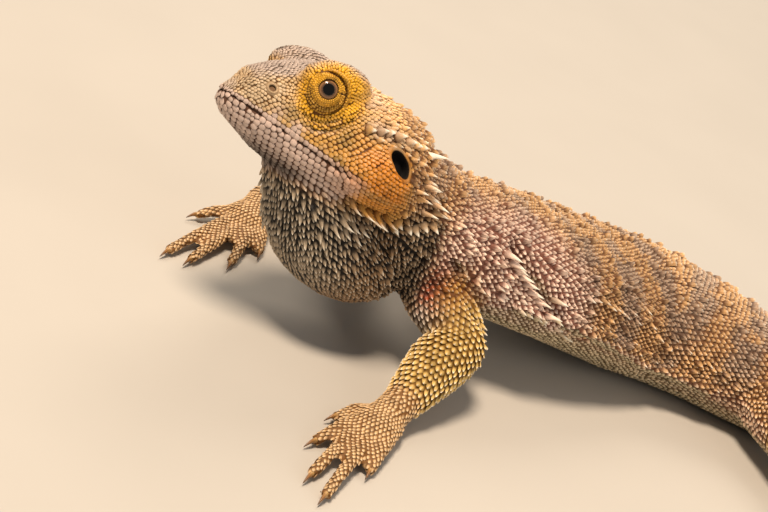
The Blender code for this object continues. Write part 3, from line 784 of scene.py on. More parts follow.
# ---- Skin ----
@dataclass
class Skin:
    """One skin over all the flesh, under the scales, with the folds that the solids leave out."""

    skeleton: Skeleton
    voxel: float = 0.60 * MM
    swell: float = 0.22 * MM
    depth: float = 0.32 * MM
    smoothing: int = 12
    soften: float = 1.0
    restore: float = 1.03
    rise: float = 0.08
    lip_groove: float = 0.45 * MM
    pouch_depth: float = 1.0 * MM

    @property
    def head(self) -> HeadFrame:
        """The head's axes."""
        return self.skeleton.head

    def flesh(self) -> list[str]:
        """The nodes that the skin stands for."""
        return [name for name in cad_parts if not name.startswith(("eye_", "claw_"))]

    def fused(self) -> bpy.types.Mesh:
        """Swells every node of flesh and both eyeballs over their seams and fuses them.

        Returns:
            The fused mesh.
        """
        form = bmesh.new()
        for name in [*self.flesh(), "eye_left", "eye_right"]:
            part = bmesh.new()
            part.from_mesh(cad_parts[name].data)
            bmesh.ops.remove_doubles(part, verts=part.verts, dist=0.002 * MM)
            bmesh.ops.recalc_face_normals(part, faces=part.faces)
            part.normal_update()
            for vertex in part.verts:
                vertex.co += vertex.normal * self.swell
            mesh = bpy.data.meshes.new("swollen")
            part.to_mesh(mesh)
            part.free()
            form.from_mesh(mesh)
            bpy.data.meshes.remove(mesh)
        mesh = bpy.data.meshes.new("fused")
        form.to_mesh(mesh)
        form.free()
        thing = placed("fused", mesh)
        remesh = thing.modifiers.new("fuse", "REMESH")
        remesh.mode = "VOXEL"
        remesh.voxel_size = self.voxel
        bpy.context.view_layer.update()
        result = bpy.data.meshes.new_from_object(thing.evaluated_get(bpy.context.evaluated_depsgraph_get()))
        bpy.data.objects.remove(thing, do_unlink=True)
        return result

    def refined(self, mesh: bpy.types.Mesh) -> bpy.types.Mesh:
        """Splits the faces round the nostrils, ears and lips, where the folds are fine.

        Args:
            mesh: the mesh to split.

        Returns:
            The same mesh.
        """
        form = bmesh.new()
        form.from_mesh(mesh)
        places = np.array([vertex.co for vertex in form.verts])
        local = folded(self.head.local(places))
        close = np.linalg.norm(local - EAR.place(), axis=1) < 7 * MM
        close |= np.linalg.norm(local - NOSTRIL.place(), axis=1) < 3.5 * MM
        close |= (np.abs(self.head.over_mouth(local)) < 2 * MM) & (local[:, 0] > -37 * MM)
        form.verts.ensure_lookup_table()
        edges = [edge for edge in form.edges if close[edge.verts[0].index] and close[edge.verts[1].index]]
        bmesh.ops.subdivide_edges(form, edges=edges, cuts=1, use_grid_fill=True)
        form.to_mesh(mesh)
        form.free()
        return mesh

    def read(self, mesh: bpy.types.Mesh) -> None:
        """Takes the mesh into arrays.

        Args:
            mesh: the mesh.
        """
        self.mesh = mesh
        self.points = numbers_of(mesh.vertices, "co", 3)
        self.normals = numbers_of(mesh.vertex_normals, "vector", 3)
        self.edges = numbers_of(mesh.edges, "vertices", 2, np.int32)
        self.loops = numbers_of(mesh.loops, "vertex_index", 1, np.int32)
        self.starts = numbers_of(mesh.polygons, "loop_start", 1, np.int32)
        self.valence = np.bincount(self.edges.ravel(), minlength=len(self.points))

    def spread(self, values: Array, rounds: int) -> Array:
        """Evens out numbers over the skin.

        Args:
            values: one or more numbers for each point.
            rounds: how often each point takes on half of its neighbours' mean.

        Returns:
            The numbers in the same form.
        """
        rows = values.reshape(len(values), -1).astype(float)
        first, second = self.edges.T
        for _ in range(rounds):
            ahead = [np.bincount(first, column[second], len(rows)) for column in rows.T]
            back = [np.bincount(second, column[first], len(rows)) for column in rows.T]
            total = np.stack(ahead, axis=1) + np.stack(back, axis=1)
            rows = 0.5 * rows + 0.5 * total / np.maximum(self.valence, 1)[:, None]
        return rows.reshape(values.shape)

    def on_faces(self, values: Array) -> Array:
        """The mean of the numbers at each face's corners."""
        summed = np.add.reduceat(values[self.loops], self.starts, axis=0)
        return (summed.T / np.diff(np.append(self.starts, len(self.loops)))).T

    def evened(self) -> None:
        """Takes the voxel steps out of the shape without shrinking it."""
        points = self.points
        for _ in range(self.smoothing):
            softer = points + self.soften * (self.spread(points, 1) - points)
            points = softer - self.restore * (self.spread(softer, 1) - softer)
        self.moved(self.spread(points, 1) - self.points)

    def moved(self, offset: Array) -> None:
        """Moves every point and takes the mesh in again.

        Args:
            offset: how far each point moves.
        """
        self.mesh.vertices.foreach_set("co", (self.points + offset).astype(np.float32).ravel())
        self.mesh.update()
        self.read(self.mesh)

    def label(self) -> None:
        """Notes the nearest node of flesh at each point."""
        self.nodes = self.flesh()
        owners, places = [], []
        for index, name in enumerate(self.nodes):
            points = np.unique(node_points(name).round(6), axis=0)
            places.append(points)
            owners += [index] * len(points)
        tree = finder(np.concatenate(places))
        self.owner = np.array([owners[tree.find(point)[1]] for point in self.points])

    def share(self, *prefixes: str, rounds: int = 14) -> Array:
        """How much each point belongs to the nodes whose names start so, softened over their seams."""
        chosen = np.array([name.startswith(prefixes) for name in self.nodes], float)
        return self.spread(chosen[self.owner], rounds)

    def sculpt(self) -> None:
        """Sinks the skin under the coat, then cuts the ear pits, the mouth and the folds."""
        head = self.head
        self.moved(-self.normals * (self.swell + self.depth))
        local = folded(head.local(self.points))
        pit = (EAR.deep + 0.9 * MM) * step(1.40, 1.15, EAR.spread(local))
        side = np.where(head.local(self.points)[:, 1:2] < 0, -1.0, 1.0)
        outward = head.turned(np.array((0.0, 1.0, 0.0)) * side)
        in_line = step(-35.5, -33.5, local[:, 0] / MM)
        sunk = self.lip_groove * hill(head.over_mouth(local) / MM, 0.0, 0.26) * in_line
        sunk += self.pouch_depth * LID.pouch(local)
        for fold in FOLDS:
            sunk += fold.depth * hill(fold.distance(local), 0.0, fold.width)
        self.moved(-self.normals * sunk[:, None] - outward * pit[:, None])

    def build(self) -> None:
        """Makes the skin's shape and what is read from it."""
        self.read(self.fused())
        self.evened()
        self.read(self.refined(self.mesh))
        self.sculpt()
        self.label()
        self.tree = BVHTree.FromPolygons(self.points, np.split(self.loops, self.starts[1:]))
        self.face_normals = unit(self.on_faces(self.spread(self.normals, 3)))

    def cast(self, start: Array, direction: Array) -> Array | None:
        """Where a ray first meets the skin, or None."""
        return self.tree.ray_cast(Vector(start), Vector(direction))[0]

    def heights(self, starts: Array, middle: Array, out: Array, missed: float = 0.0) -> Array:
        """How far beyond a middle the skin lies under each start, looking back along the way out."""
        hits = [self.cast(start, -out) for start in starts]
        return np.array([missed if hit is None else (np.array(hit) - middle) @ out for hit in hits])

    def piece(self, finish: Material, masks: dict[str, Array]) -> bpy.types.Object:
        """Shows the skin with its markings and hides the flesh.

        Args:
            finish: the scaly material.
            masks: the share of each tint at each point.

        Returns:
            The object.
        """
        thing = placed("skin", self.mesh)
        self.mesh.polygons.foreach_set("use_smooth", np.ones(len(self.mesh.polygons), bool))
        plain = np.zeros(len(self.points))
        # The bare skin takes mostly the deep gap colour, which is partly painted shade.
        hold(self.mesh, {**masks, "rise": plain + self.rise, "shade": plain, "pale": plain})
        self.mesh.materials.append(finish)
        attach(thing, "root")
        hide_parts(*self.flesh())
        LOG.info("skin: %d points, %d faces", len(self.points), len(self.starts))
        return thing


@dataclass(frozen=True)
class Opening:
    """An opening in the head, by its place on the left side and its half sizes along, across and turned."""

    forward: float
    left: float
    up: float
    half_length: float
    half_height: float
    lean: float
    deep: float

    def place(self) -> Array:
        """The middle of the opening, on the left side."""
        return np.array((self.forward, self.left, self.up))

    def spread(self, local: Array) -> Array:
        """How far out each place lies, 1 on the rim.

        Args:
            local: folded places of the head.

        Returns:
            The distance from its middle, as a share of its size.
        """
        lean = math.radians(self.lean)
        offset = local - self.place()
        along = offset[:, 0] * math.cos(lean) + offset[:, 2] * math.sin(lean)
        height = offset[:, 2] * math.cos(lean) - offset[:, 0] * math.sin(lean)
        size = (along / self.half_length) ** 2 + (height / self.half_height) ** 2
        return np.sqrt(size + (offset[:, 1] / (8 * MM)) ** 2)


EAR = Opening(-41.7 * MM, 18.7 * MM, 1.55 * MM, 2.0 * MM, 3.70 * MM, -52.0, 2.2 * MM)
NOSTRIL = Opening(-7.6 * MM, 6.9 * MM, 5.3 * MM, 0.80 * MM, 0.68 * MM, 0.0, 1.3 * MM)


def folded(local: Array) -> Array:
    """Local places of the head, with the right side laid over the left."""
    return local * np.where(local[:, 1:2] < 0, np.array((1.0, -1.0, 1.0)), 1.0)


@dataclass(frozen=True)
class Fold:
    """A crease on both sides: points in millimetres in the head's frame, its depth and half width."""

    path: tuple[Triple, ...]
    depth: float
    width: float

    def distance(self, local: Array) -> Array:
        """How far each local place lies from the crease.

        Args:
            local: folded places of the head.

        Returns:
            One distance for each, in metres.
        """
        nearest = np.full(len(local), np.inf)
        for start, end in zip(np.array(self.path) * MM, np.array(self.path[1:]) * MM):
            share = np.clip((local - start) @ (end - start) / dot(end - start, end - start), 0.0, 1.0)
            apart = np.linalg.norm(local - start - share[:, None] * (end - start), axis=1)
            nearest = np.minimum(nearest, apart)
        return nearest


BEHIND_ARM = ((-84.0, 16.5, -5.5), (-92.0, 18.5, -12.0), (-101.0, 18.8, -17.0), (-108.0, 19.0, -24.0))
BESIDE_NECK = ((-59.0, 15.0, -1.0), (-62.0, 15.0, -9.0), (-63.0, 12.0, -20.0), (-60.0, 8.0, -29.0))
FOLDS = (
    Fold(BEHIND_ARM, 3.4 * MM, 1.6 * MM),
    Fold(((-68.0, 14.0, -14.0), (-76.0, 18.0, -20.0), (-84.0, 19.5, -29.0)), 2.4 * MM, 1.5 * MM),
    Fold(BESIDE_NECK, 1.8 * MM, 1.6 * MM),
    Fold(((-110.0, 14.0, -10.0), (-111.0, 17.5, -17.0), (-110.0, 18.0, -25.0)), 2.0 * MM, 1.3 * MM),
    Fold(((-118.0, 13.0, -12.0), (-118.5, 15.5, -19.0), (-114.0, 16.0, -27.0)), 1.6 * MM, 1.1 * MM),
)


# ---- Markings ----
@dataclass
class Markings:
    """The colour masks, which skin and scales share. The spots are in the head's frame, in millimetres."""

    skin: Skin
    eye_spot: Triple = (-20.5, 11.5, 9.5)
    ear_spot: Triple = (-40.0, 19.0, -3.0)
    rust_spot: Triple = (-67.8, 13.0, -23.0)
    gold_spot: Triple = (-74.2, 15.6, -20.4)
    ash_spot: Triple = (-68.3, 11.0, -31.0)
    flap_spot: Triple = (-86.0, 20.0, -22.0)
    bar_turn: float = 330.0

    def masks(self) -> dict[str, Array]:
        """Works out where each tint lies.

        Returns:
            One number from 0 to 1 for each point of the skin, by tint.
        """
        skin, head = self.skin, self.skin.head
        points, normals = skin.points, skin.normals
        local = folded(head.local(points))
        turned = normals @ head.axes().T
        forward, left, up = local.T / MM
        over = head.over_mouth(local) / MM
        on_head = skin.share("head", "lower_jaw", rounds=10)
        on_jaw = skin.share("lower_jaw", rounds=6)
        on_beard = skin.share("beard", rounds=30)
        on_trunk = skin.share("trunk", rounds=30)
        on_neck = skin.share("neck", rounds=26)
        on_tail = skin.share("tail", rounds=30)
        on_arm = skin.share("upper_arm", "forearm", rounds=34)
        on_leg = skin.share("thigh", "shank", rounds=34)
        on_paw = skin.share("hand", "foot", rounds=34)
        side = step(0.75, 0.35, turned[:, 2])
        coarse, middle = mottle(points, 7 * MM, 3), mottle(points, 3 * MM, 5)
        streaks = mottle(local * np.array((0.35, 1.0, 1.0)), 1.6 * MM, 7)
        from_eye = (local / MM - np.array(self.eye_spot)).T
        from_ear = (local / MM - np.array(self.ear_spot)).T
        eye = np.sqrt(from_eye[0] ** 2 + (1.35 * from_eye[1]) ** 2 + from_eye[2] ** 2)
        ear = np.sqrt((from_ear[0] / 1.15) ** 2 + from_ear[1] ** 2 + from_ear[2] ** 2)
        rust, gold, ash, flap = (
            np.linalg.norm(local / MM - np.array(spot), axis=1)
            for spot in (self.rust_spot, self.gold_spot, self.ash_spot, self.flap_spot)
        )
        far_brow = (head.local(points)[:, 1] < 0) * step(11.5, 13.5, up)
        # Painted shade in the creases of the folds and the pouches by the eyes.
        creases = 0.75 * np.max([hill(fold.distance(local), 0.0, fold.width * 0.8) for fold in FOLDS], axis=0)
        creases = np.maximum(creases, 0.7 * LID.pouch(local))
        # Painted shade under the jaw, where it faces down, and round the ear opening.
        painted_shade_under_jaw_and_ear = np.maximum(0.9 * on_jaw * step(-3.5, -8.0, over), step(1.36, 1.2, EAR.spread(local)))
        ridge = on_head * side * hill(up, 7.5, 2.6) * step(-29.0, -33.0, forward)
        low, lower = step(-0.25, -0.75, normals[:, 2]), step(0.1, -0.3, normals[:, 2])
        line = self.along_back() + 0.006 * (coarse - 0.5)
        bars = step(0.35, 0.75, 0.5 + 0.5 * np.sin(line * self.bar_turn)) * step(0.25, 0.6, middle + 0.15)
        upper = step(-0.2, 0.35, normals[:, 2])
        low_neck = on_neck * step(-4.0, -12.0, up)
        top = on_head * step(0.38, 0.80, turned[:, 2]) * step(-40, -24, forward)
        round_ear = hill(ear, 0.0, 9.0) * np.clip(on_head, 0.2, 1)
        return {
            "blotch": np.clip(on_trunk + on_tail + 0.7 * on_neck, 0, 1) * (0.25 + 0.6 * bars) * upper,
            "flank": np.clip(on_trunk * np.maximum(step(34.0, 20.0, flap), 0.6 * lower), 0, 1),
            "belly": np.clip(on_trunk + on_tail + on_leg + on_arm * 0.4, 0, 1) * low,
            "ochre": np.clip(on_arm + on_leg * 0.8, 0, 1) * (1 - 0.7 * low),
            "paw": np.clip(on_paw, 0, 1),
            "ash": np.clip(1.2 * on_arm, 0, 1) * hill(ash, 0.0, 6.5),
            "rust": np.clip(hill(rust, 0.0, 6.2) * (0.65 + 0.9 * streaks), 0, 0.95),
            "beard": np.clip(on_beard + low_neck, 0, 1),
            "umber": np.clip(on_beard * step(-36.0, -52.0, forward) + 0.6 * low_neck, 0, 1) * 0.8,
            "cheek": np.clip(on_head * side * step(0.2, 0.55, streaks + 0.12) + hill(gold, 0.0, 4.5), 0, 1),
            "olive": on_head * side * step(0.46, 0.28, streaks) * (1 - step(-14, -8, forward)) * 0.75,
            "snout": on_head * step(-17, -8, forward) * (0.7 + 0.3 * step(0.3, 0.6, streaks)),
            "crown": np.maximum(top, np.clip(0.9 * far_brow + 0.8 * ridge, 0, 1)),
            "jaw": np.clip(on_jaw + on_head * step(1.4, 0.7, over) * step(-38, -30, forward), 0, 1) * 0.95,
            "orange": np.clip(round_ear * (0.45 + 1.1 * streaks) - ridge, 0, 0.95),
            "yellow": step(9.6, 7.2, eye) * np.clip(0.45 + 0.9 * middle, 0, 1) * (1 - 0.85 * far_brow),
            # pit: painted shade in the mouth slit, the creases, under the jaw and round the ear opening.
            "pit": np.clip(np.max((self.lips(local, over), creases, painted_shade_under_jaw_and_ear), axis=0), 0, 1),
        }

    def lips(self, local: Array, over: Array) -> Array:
        """Painted shade in the slit of the closed mouth."""
        forward, left, _ = local.T / MM
        return 0.7 * hill(over, 0.0, 0.22) * step(-35.5, -34.0, forward) * step(24.0, 20.0, left)

    def along_back(self) -> Array:
        """Measures along the trunk and tail from the neck.

        Returns:
            The distance for each point, in metres.
        """
        skeleton, points = self.skin.skeleton, self.skin.points
        line = [*TRUNK, *TAIL]
        best, found = np.full(len(points), np.inf), np.zeros(len(points))
        run = 0.0
        for name in line:
            start, end = skeleton.bones[name]
            length = np.linalg.norm(end - start)
            share = np.clip((points - start) @ unit(end - start) / length, 0.0, 1.0)
            apart = np.linalg.norm(points - (start + share[:, None] * (end - start)), axis=1)
            closer = apart < best
            best, found = np.where(closer, apart, best), np.where(closer, run + share * length, found)
            run += length
        return found


# ---- The lie and make of the scales ----
@dataclass
class Lie:
    """Which way the scales point, and their make, at each face of the skin."""

    skin: Skin
    rounds: int = 40

    def ways(self) -> Array:
        """The way the tips point at each point of the skin.

        Returns:
            One direction of length 1 for each point.
        """
        skin, skeleton = self.skin, self.skin.skeleton
        head = skeleton.head
        ways = np.array([skeleton.direction(name) for name in skin.nodes])[skin.owner]
        backward, throat = head.turned((-0.98, 0.0, -0.19)), head.turned((-0.72, 0.0, -0.70))
        for name, way in (("head", backward), ("lower_jaw", backward), ("beard", throat)):
            ways[skin.owner == skin.nodes.index(name)] = way
        for paw in PAWS:
            chosen = np.flatnonzero(skin.owner == skin.nodes.index(paw))
            wrist = skeleton.bones[paw][0]
            tips = np.array([np.mean(node_points(name), axis=0) for name in claw_names(paw)])
            places = skin.points[chosen]
            reach = tips - wrist
            share = np.clip(((places[:, None] - wrist) * reach).sum(-1) / (reach**2).sum(-1), 0.2, 1.0)
            apart = np.linalg.norm(places[:, None] - (wrist + share[..., None] * reach), axis=-1)
            nearest = apart.argmin(axis=1)
            beyond = tips[nearest] + unit(reach[nearest]) * 8 * MM
            ways[chosen] = unit(beyond - places)
        ways -= dot(ways, skin.normals)[:, None] * skin.normals
        local = folded(head.local(skin.points))
        mirror = np.where(head.local(skin.points)[:, 1:2] < 0, np.array((1.0, -1.0, 1.0)), 1.0)
        outward = head.turned((local - np.array(LID.place)) * mirror)
        near = step(9.0 * MM, 7.0 * MM, LID.spread(local)) * (local[:, 1] > 6 * MM)
        ways = ways * (1 - near[:, None]) + unit(outward) * near[:, None]
        ways = skin.spread(ways, self.rounds)
        ways -= dot(ways, skin.normals)[:, None] * skin.normals
        return unit(ways)

    def makes(self) -> Array:
        """Varies the makes of the regions over the skin.

        Returns:
            A row for each point, with a column for each of KIND_COLUMNS.
        """
        skin, head = self.skin, self.skin.head
        makes = np.array([kind_of(name).row() for name in skin.nodes])[skin.owner]
        forward, left, up = folded(head.local(skin.points)).T / MM
        on_head = skin.owner == skin.nodes.index("head")
        eye = np.linalg.norm(np.stack((forward + 19.5, left - 11.0, up - 9.5), axis=1), axis=1)
        small = on_head * (0.34 * step(12, 7.5, eye) + 0.26 * step(-14, -5, forward))
        makes[:, COLUMN["across"]] *= 1.0 - np.minimum(small, 0.4)
        over = up - np.minimum(forward, 0.0) * head.mouth_slope
        late = on_head * step(-34.0, -42.0, forward) * step(-1.0, -6.0, up)
        makes[:, COLUMN["lift"]] += 0.16 * late
        makes[:, COLUMN["point"]] += 0.30 * late
        makes[:, COLUMN["dome"]] *= 1.0 - 0.45 * late
        below = (skin.owner == skin.nodes.index("lower_jaw")) * step(-4.5, -8.5, over)
        makes[:, COLUMN["across"]] *= 1.0 - 0.28 * below
        low_beard = (skin.owner == skin.nodes.index("beard")) * step(-24.0, -34.0, up)
        changes = {"across": 0.10, "ratio": -0.30, "lift": -0.45, "point": -0.30, "cover": -0.08}
        for name, change in changes.items():
            makes[:, COLUMN[name]] *= 1.0 + change * low_beard
        under = step(-0.2, -0.7, skin.normals[:, 2])
        makes[:, COLUMN["keel"]] *= 1.0 - 0.75 * under
        makes[:, COLUMN["lift"]] *= 1.0 - 0.6 * under
        return skin.spread(makes, self.rounds // 2)

    def build(self) -> None:
        """Reads both at the faces."""
        self.way = unit(self.skin.on_faces(self.ways()))
        self.make = self.skin.on_faces(self.makes())


@dataclass
class Roots:
    """Where the scales of the coat grow, found by letting a staggered lattice spread over the skin."""

    skin: Skin
    lie: Lie
    bare: Array
    crowding: float = 0.74
    cell: float = 2.4 * MM
    slack: float = 1.2 * MM
    push: float = 0.35
    push_within: float = 1.25
    places: list = field(default_factory=list)
    faces: list = field(default_factory=list)
    cells: dict = field(default_factory=dict)

    def __post_init__(self) -> None:
        """Turns the arrays into plain tuples, which are quicker to read one at a time."""
        normals, ways = self.skin.face_normals, self.lie.way
        ways = unit(ways - dot(ways, normals)[:, None] * normals)
        sides = np.cross(ways, normals)
        self.frames = list(zip(ways.tolist(), sides.tolist()))
        across = self.lie.make[:, 0]
        self.sizes = list(zip(across.tolist(), (across * self.lie.make[:, 1]).tolist()))
        self.ranked = (self.lie.make[:, COLUMN["ranks"]] > 0.5).tolist()
        self.queue = deque()

    def crowded(self, place: tuple[float, ...], face: int) -> bool:
        """True where an earlier root is nearer than the lattice allows.

        Args:
            place: where a root might stand.
            face: the face of the skin there.

        Returns:
            True if there is no room.
        """
        way, side = self.frames[face]
        across, along = self.sizes[face]
        limit, far = self.crowding**2, max(across, along) ** 2
        key = [int(number // self.cell) for number in place]
        for shift in NEIGHBOUR_CELLS:
            for other in self.cells.get((key[0] + shift[0], key[1] + shift[1], key[2] + shift[2]), ()):
                dx, dy, dz = other[0] - place[0], other[1] - place[1], other[2] - place[2]
                if dx * dx + dy * dy + dz * dz > far:
                    continue
                run = (dx * way[0] + dy * way[1] + dz * way[2]) / along
                aside = (dx * side[0] + dy * side[1] + dz * side[2]) / across
                if run * run + aside * aside < limit:
                    return True
        return False

    def place(self, point: Vector) -> None:
        """Sets a root on the skin near the point if there is room.

        Args:
            point: a place near the skin.
        """
        found, _, face, apart = self.skin.tree.find_nearest(point)
        if face is None or self.bare[face] or apart > self.slack:
            return
        spot = tuple(found)
        if self.crowded(spot, face):
            return
        key = tuple(int(number // self.cell) for number in spot)
        self.cells.setdefault(key, []).append(spot)
        self.queue.append(len(self.places))
        self.places.append(spot)
        self.faces.append(face)

    def grow(self, seeds: Array) -> None:
        """Spreads the lattice from the seeds until the skin is full.

        Args:
            seeds: the first places.
        """
        for seed in seeds:
            self.place(Vector(seed))
        while self.queue:
            index = self.queue.popleft()
            (x, y, z), face = self.places[index], self.faces[index]
            (wx, wy, wz), (sx, sy, sz) = self.frames[face]
            across, along = self.sizes[face]
            for aside, run in RANKED_LATTICE if self.ranked[face] else LATTICE:
                a, r = aside * across, run * along
                self.place(Vector((x + sx * a + wx * r, y + sy * a + wy * r, z + sz * a + wz * r)))

    def relax(self, rounds: int) -> None:
        """Evens out the spacing.

        Args:
            rounds: how often each root is moved.
        """
        for _ in range(rounds):
            tree, moved = finder(self.places), []
            for index, (x, y, z) in enumerate(self.places):
                way, side = self.frames[self.faces[index]]
                across, along = self.sizes[self.faces[index]]
                push_aside = push_run = 0.0
                for spot, other, _ in tree.find_range((x, y, z), self.push_within * max(across, along)):
                    if other == index:
                        continue
                    dx, dy, dz = spot[0] - x, spot[1] - y, spot[2] - z
                    run = (dx * way[0] + dy * way[1] + dz * way[2]) / along
                    aside = (dx * side[0] + dy * side[1] + dz * side[2]) / across
                    size = math.sqrt(run * run + aside * aside)
                    if 0.01 < size < 1.0:
                        push_aside -= aside / size * (1.0 - size)
                        push_run -= run / size * (1.0 - size)
                a, r = self.push * push_aside * across, self.push * push_run * along
                rows = zip((x, y, z), side, way)
                moved.append(tuple(number + aside * a + run * r for number, aside, run in rows))
            for index, point in enumerate(moved):
                found, _, face, _ = self.skin.tree.find_nearest(point)
                if not self.bare[face]:
                    self.places[index], self.faces[index] = tuple(found), face


NEIGHBOUR_CELLS = tuple(product((-1, 0, 1), repeat=3))
STAGGER = math.sqrt(0.75)
LATTICE = ((1.0, 0.0), (-1.0, 0.0), (0.5, STAGGER), (-0.5, STAGGER), (0.5, -STAGGER), (-0.5, -STAGGER))
RANKED_LATTICE = tuple((run, aside) for aside, run in LATTICE)


# ---- One scale ----
@dataclass(frozen=True)
class ScaleForm:
    """The shape that every scale is cut from: rows from root to tip, five points across each."""

    columns: tuple[float, ...] = (-1.0, -0.55, 0.0, 0.55, 1.0)
    rows: tuple[float, ...] = (-1.0, -0.45, 0.25, 0.72)
    blunt: tuple[float, ...] = (0.60, 0.97, 1.0, 0.80)
    sharp: tuple[float, ...] = (0.50, 0.98, 0.84, 0.42)
    swell: tuple[float, ...] = (0.25, 0.95, 0.95, 0.62, 0.05)
    ridge: tuple[float, ...] = (0.10, 0.70, 1.0, 1.0, 0.60)
    crisp: float = 0.5
    soft: float = 0.0

    def count(self) -> int:
        """Points in one scale."""
        return len(self.rows) * 5 + 1

    def faces(self) -> tuple[Array, Array]:
        """The triangles of one scale, and which of them are on its underside.

        Returns:
            Three point numbers for each triangle, and True for each that is underneath.
        """
        tip, last = len(self.rows) * 5, (len(self.rows) - 1) * 5
        top = []
        for row, column in product(range(len(self.rows) - 1), range(4)):
            a, b, c, d = (row * 5 + column + at for at in (0, 1, 6, 5))
            top += [(a, b, c), (a, c, d)] if column >= 2 else [(a, b, d), (b, c, d)]
        top += [(last + column, last + column + 1, tip) for column in range(4)]
        rim = [*range(5)] + [row * 5 + 4 for row in range(1, len(self.rows))] + [tip]
        rim += [row * 5 for row in range(len(self.rows) - 1, 0, -1)]
        under = [(rim[0], rim[at + 1], rim[at]) for at in range(1, len(rim) - 1)]
        return np.array(top + under), np.array([False] * len(top) + [True] * len(under))

    def grid(self) -> tuple[Array, Array, Array]:
        """For each point: its place across from -1 to 1, along from -1 to 1, and its row.

        Returns:
            Places across from -1 to 1, places along from -1 to 1, and rows.
        """
        across = [column for _ in self.rows for column in self.columns] + [0.0]
        along = [row for row in self.rows for _ in self.columns] + [1.0]
        number = [index for index in range(len(self.rows)) for _ in self.columns] + [len(self.rows)]
        return np.array(across), np.array(along), np.array(number)

    def shapes(self, table: "ScaleTable") -> Shape:
        """Builds every scale of a table as one shape.

        Args:
            table: a row for each scale.

        Returns:
            The shape.
        """
        across, along, number = self.grid()
        make = {name: table.make[:, column : column + 1] for name, column in COLUMN.items()}
        point, size = make["point"], make["across"]
        blunt, sharp = (np.array([*widths, 0.0])[number] for widths in (self.blunt, self.sharp))
        width = ((1 - point) * blunt + point * sharp) * (0.53 + 0.035 * make["ranks"])
        reach = 0.5 * size * make["ratio"] * make["cover"]
        bow = 1.0 - np.abs(across) ** 2.2
        tent = 1.0 - np.abs(across)
        part = (along + 1) / 2
        height = make["dome"] * np.array(self.swell)[number] * bow
        height = height + 0.26 * make["keel"] * np.array(self.ridge)[number] * tent
        height = height + make["lift"] * part**1.5 - 0.14 * (1 - part) - 0.03 + 0.11 * make["ranks"]
        run = reach * along + (make["cover"] - 1.0) * 0.4 * size
        points = (
            table.places[:, None]
            + table.side[:, None] * (size * width * across)[..., None]
            + table.way[:, None] * run[..., None]
            + table.normal[:, None] * (height * size)[..., None]
        )
        points[..., 2] = np.maximum(points[..., 2], FLOOR_GAP)
        # rise: light on the raised middle and tip of each scale, deep towards its root and edges, where the
        # deep colour is partly painted shade.
        plate = 0.35 + 0.65 * (1.0 - np.abs(across) ** 3) * (1.0 - np.abs(along) ** 6)
        leaf = step(-0.45, 0.9, along) * (1.0 - 0.35 * np.abs(across) ** 1.5)
        rise = (1 - point) * plate + point * leaf
        keel = np.clip(1.0 - np.abs(across) * 2.2, 0.0, 1.0) * step(-0.6, 0.2, along)
        # pale: a painted highlight along the keel, and the tip's own pale colour.
        pale = np.clip(keel + 0.8 * step(0.55, 1.0, along), 0, 1) * table.pale[:, None]
        rise = rise + (1 - rise) * self.soft
        faces, under = self.faces()
        count, total = self.count(), len(table.places)
        flat = under[None] | (make["keel"] > self.crisp)
        numbers = {name: np.repeat(values, count) for name, values in table.masks.items()}
        numbers |= {"rise": rise.ravel(), "pale": pale.ravel(), "shade": np.repeat(table.shade, count)}
        patch = np.stack((across, along), axis=1) * PATCH / 2
        corners = (table.spots[:, None] + patch[None])[:, faces.ravel()].reshape(-1, 2)
        every = (faces[None] + (np.arange(total) * count)[:, None, None]).reshape(-1, 3)
        return Shape(points.reshape(-1, 3), every, numbers, flat.ravel(), corners)


@dataclass
class ScaleTable:
    """A row for each scale: its place and frame, make, shading, markings and place on the unrolled skin."""

    places: Array
    normal: Array
    way: Array
    make: Array
    shade: Array
    pale: Array
    masks: dict[str, Array]
    spots: Array
    owner: Array

    @property
    def side(self) -> Array:
        """The way across each scale."""
        return np.cross(self.way, self.normal)

    def chosen(self, mask: Array) -> "ScaleTable":
        """The rows that the mask picks.

        Args:
            mask: True for each row to keep.

        Returns:
            A smaller table.
        """
        masks = {name: values[mask] for name, values in self.masks.items()}
        held = (self.places, self.normal, self.way, self.make, self.shade, self.pale)
        return ScaleTable(*[rows[mask] for rows in held], masks, self.spots[mask], self.owner[mask])


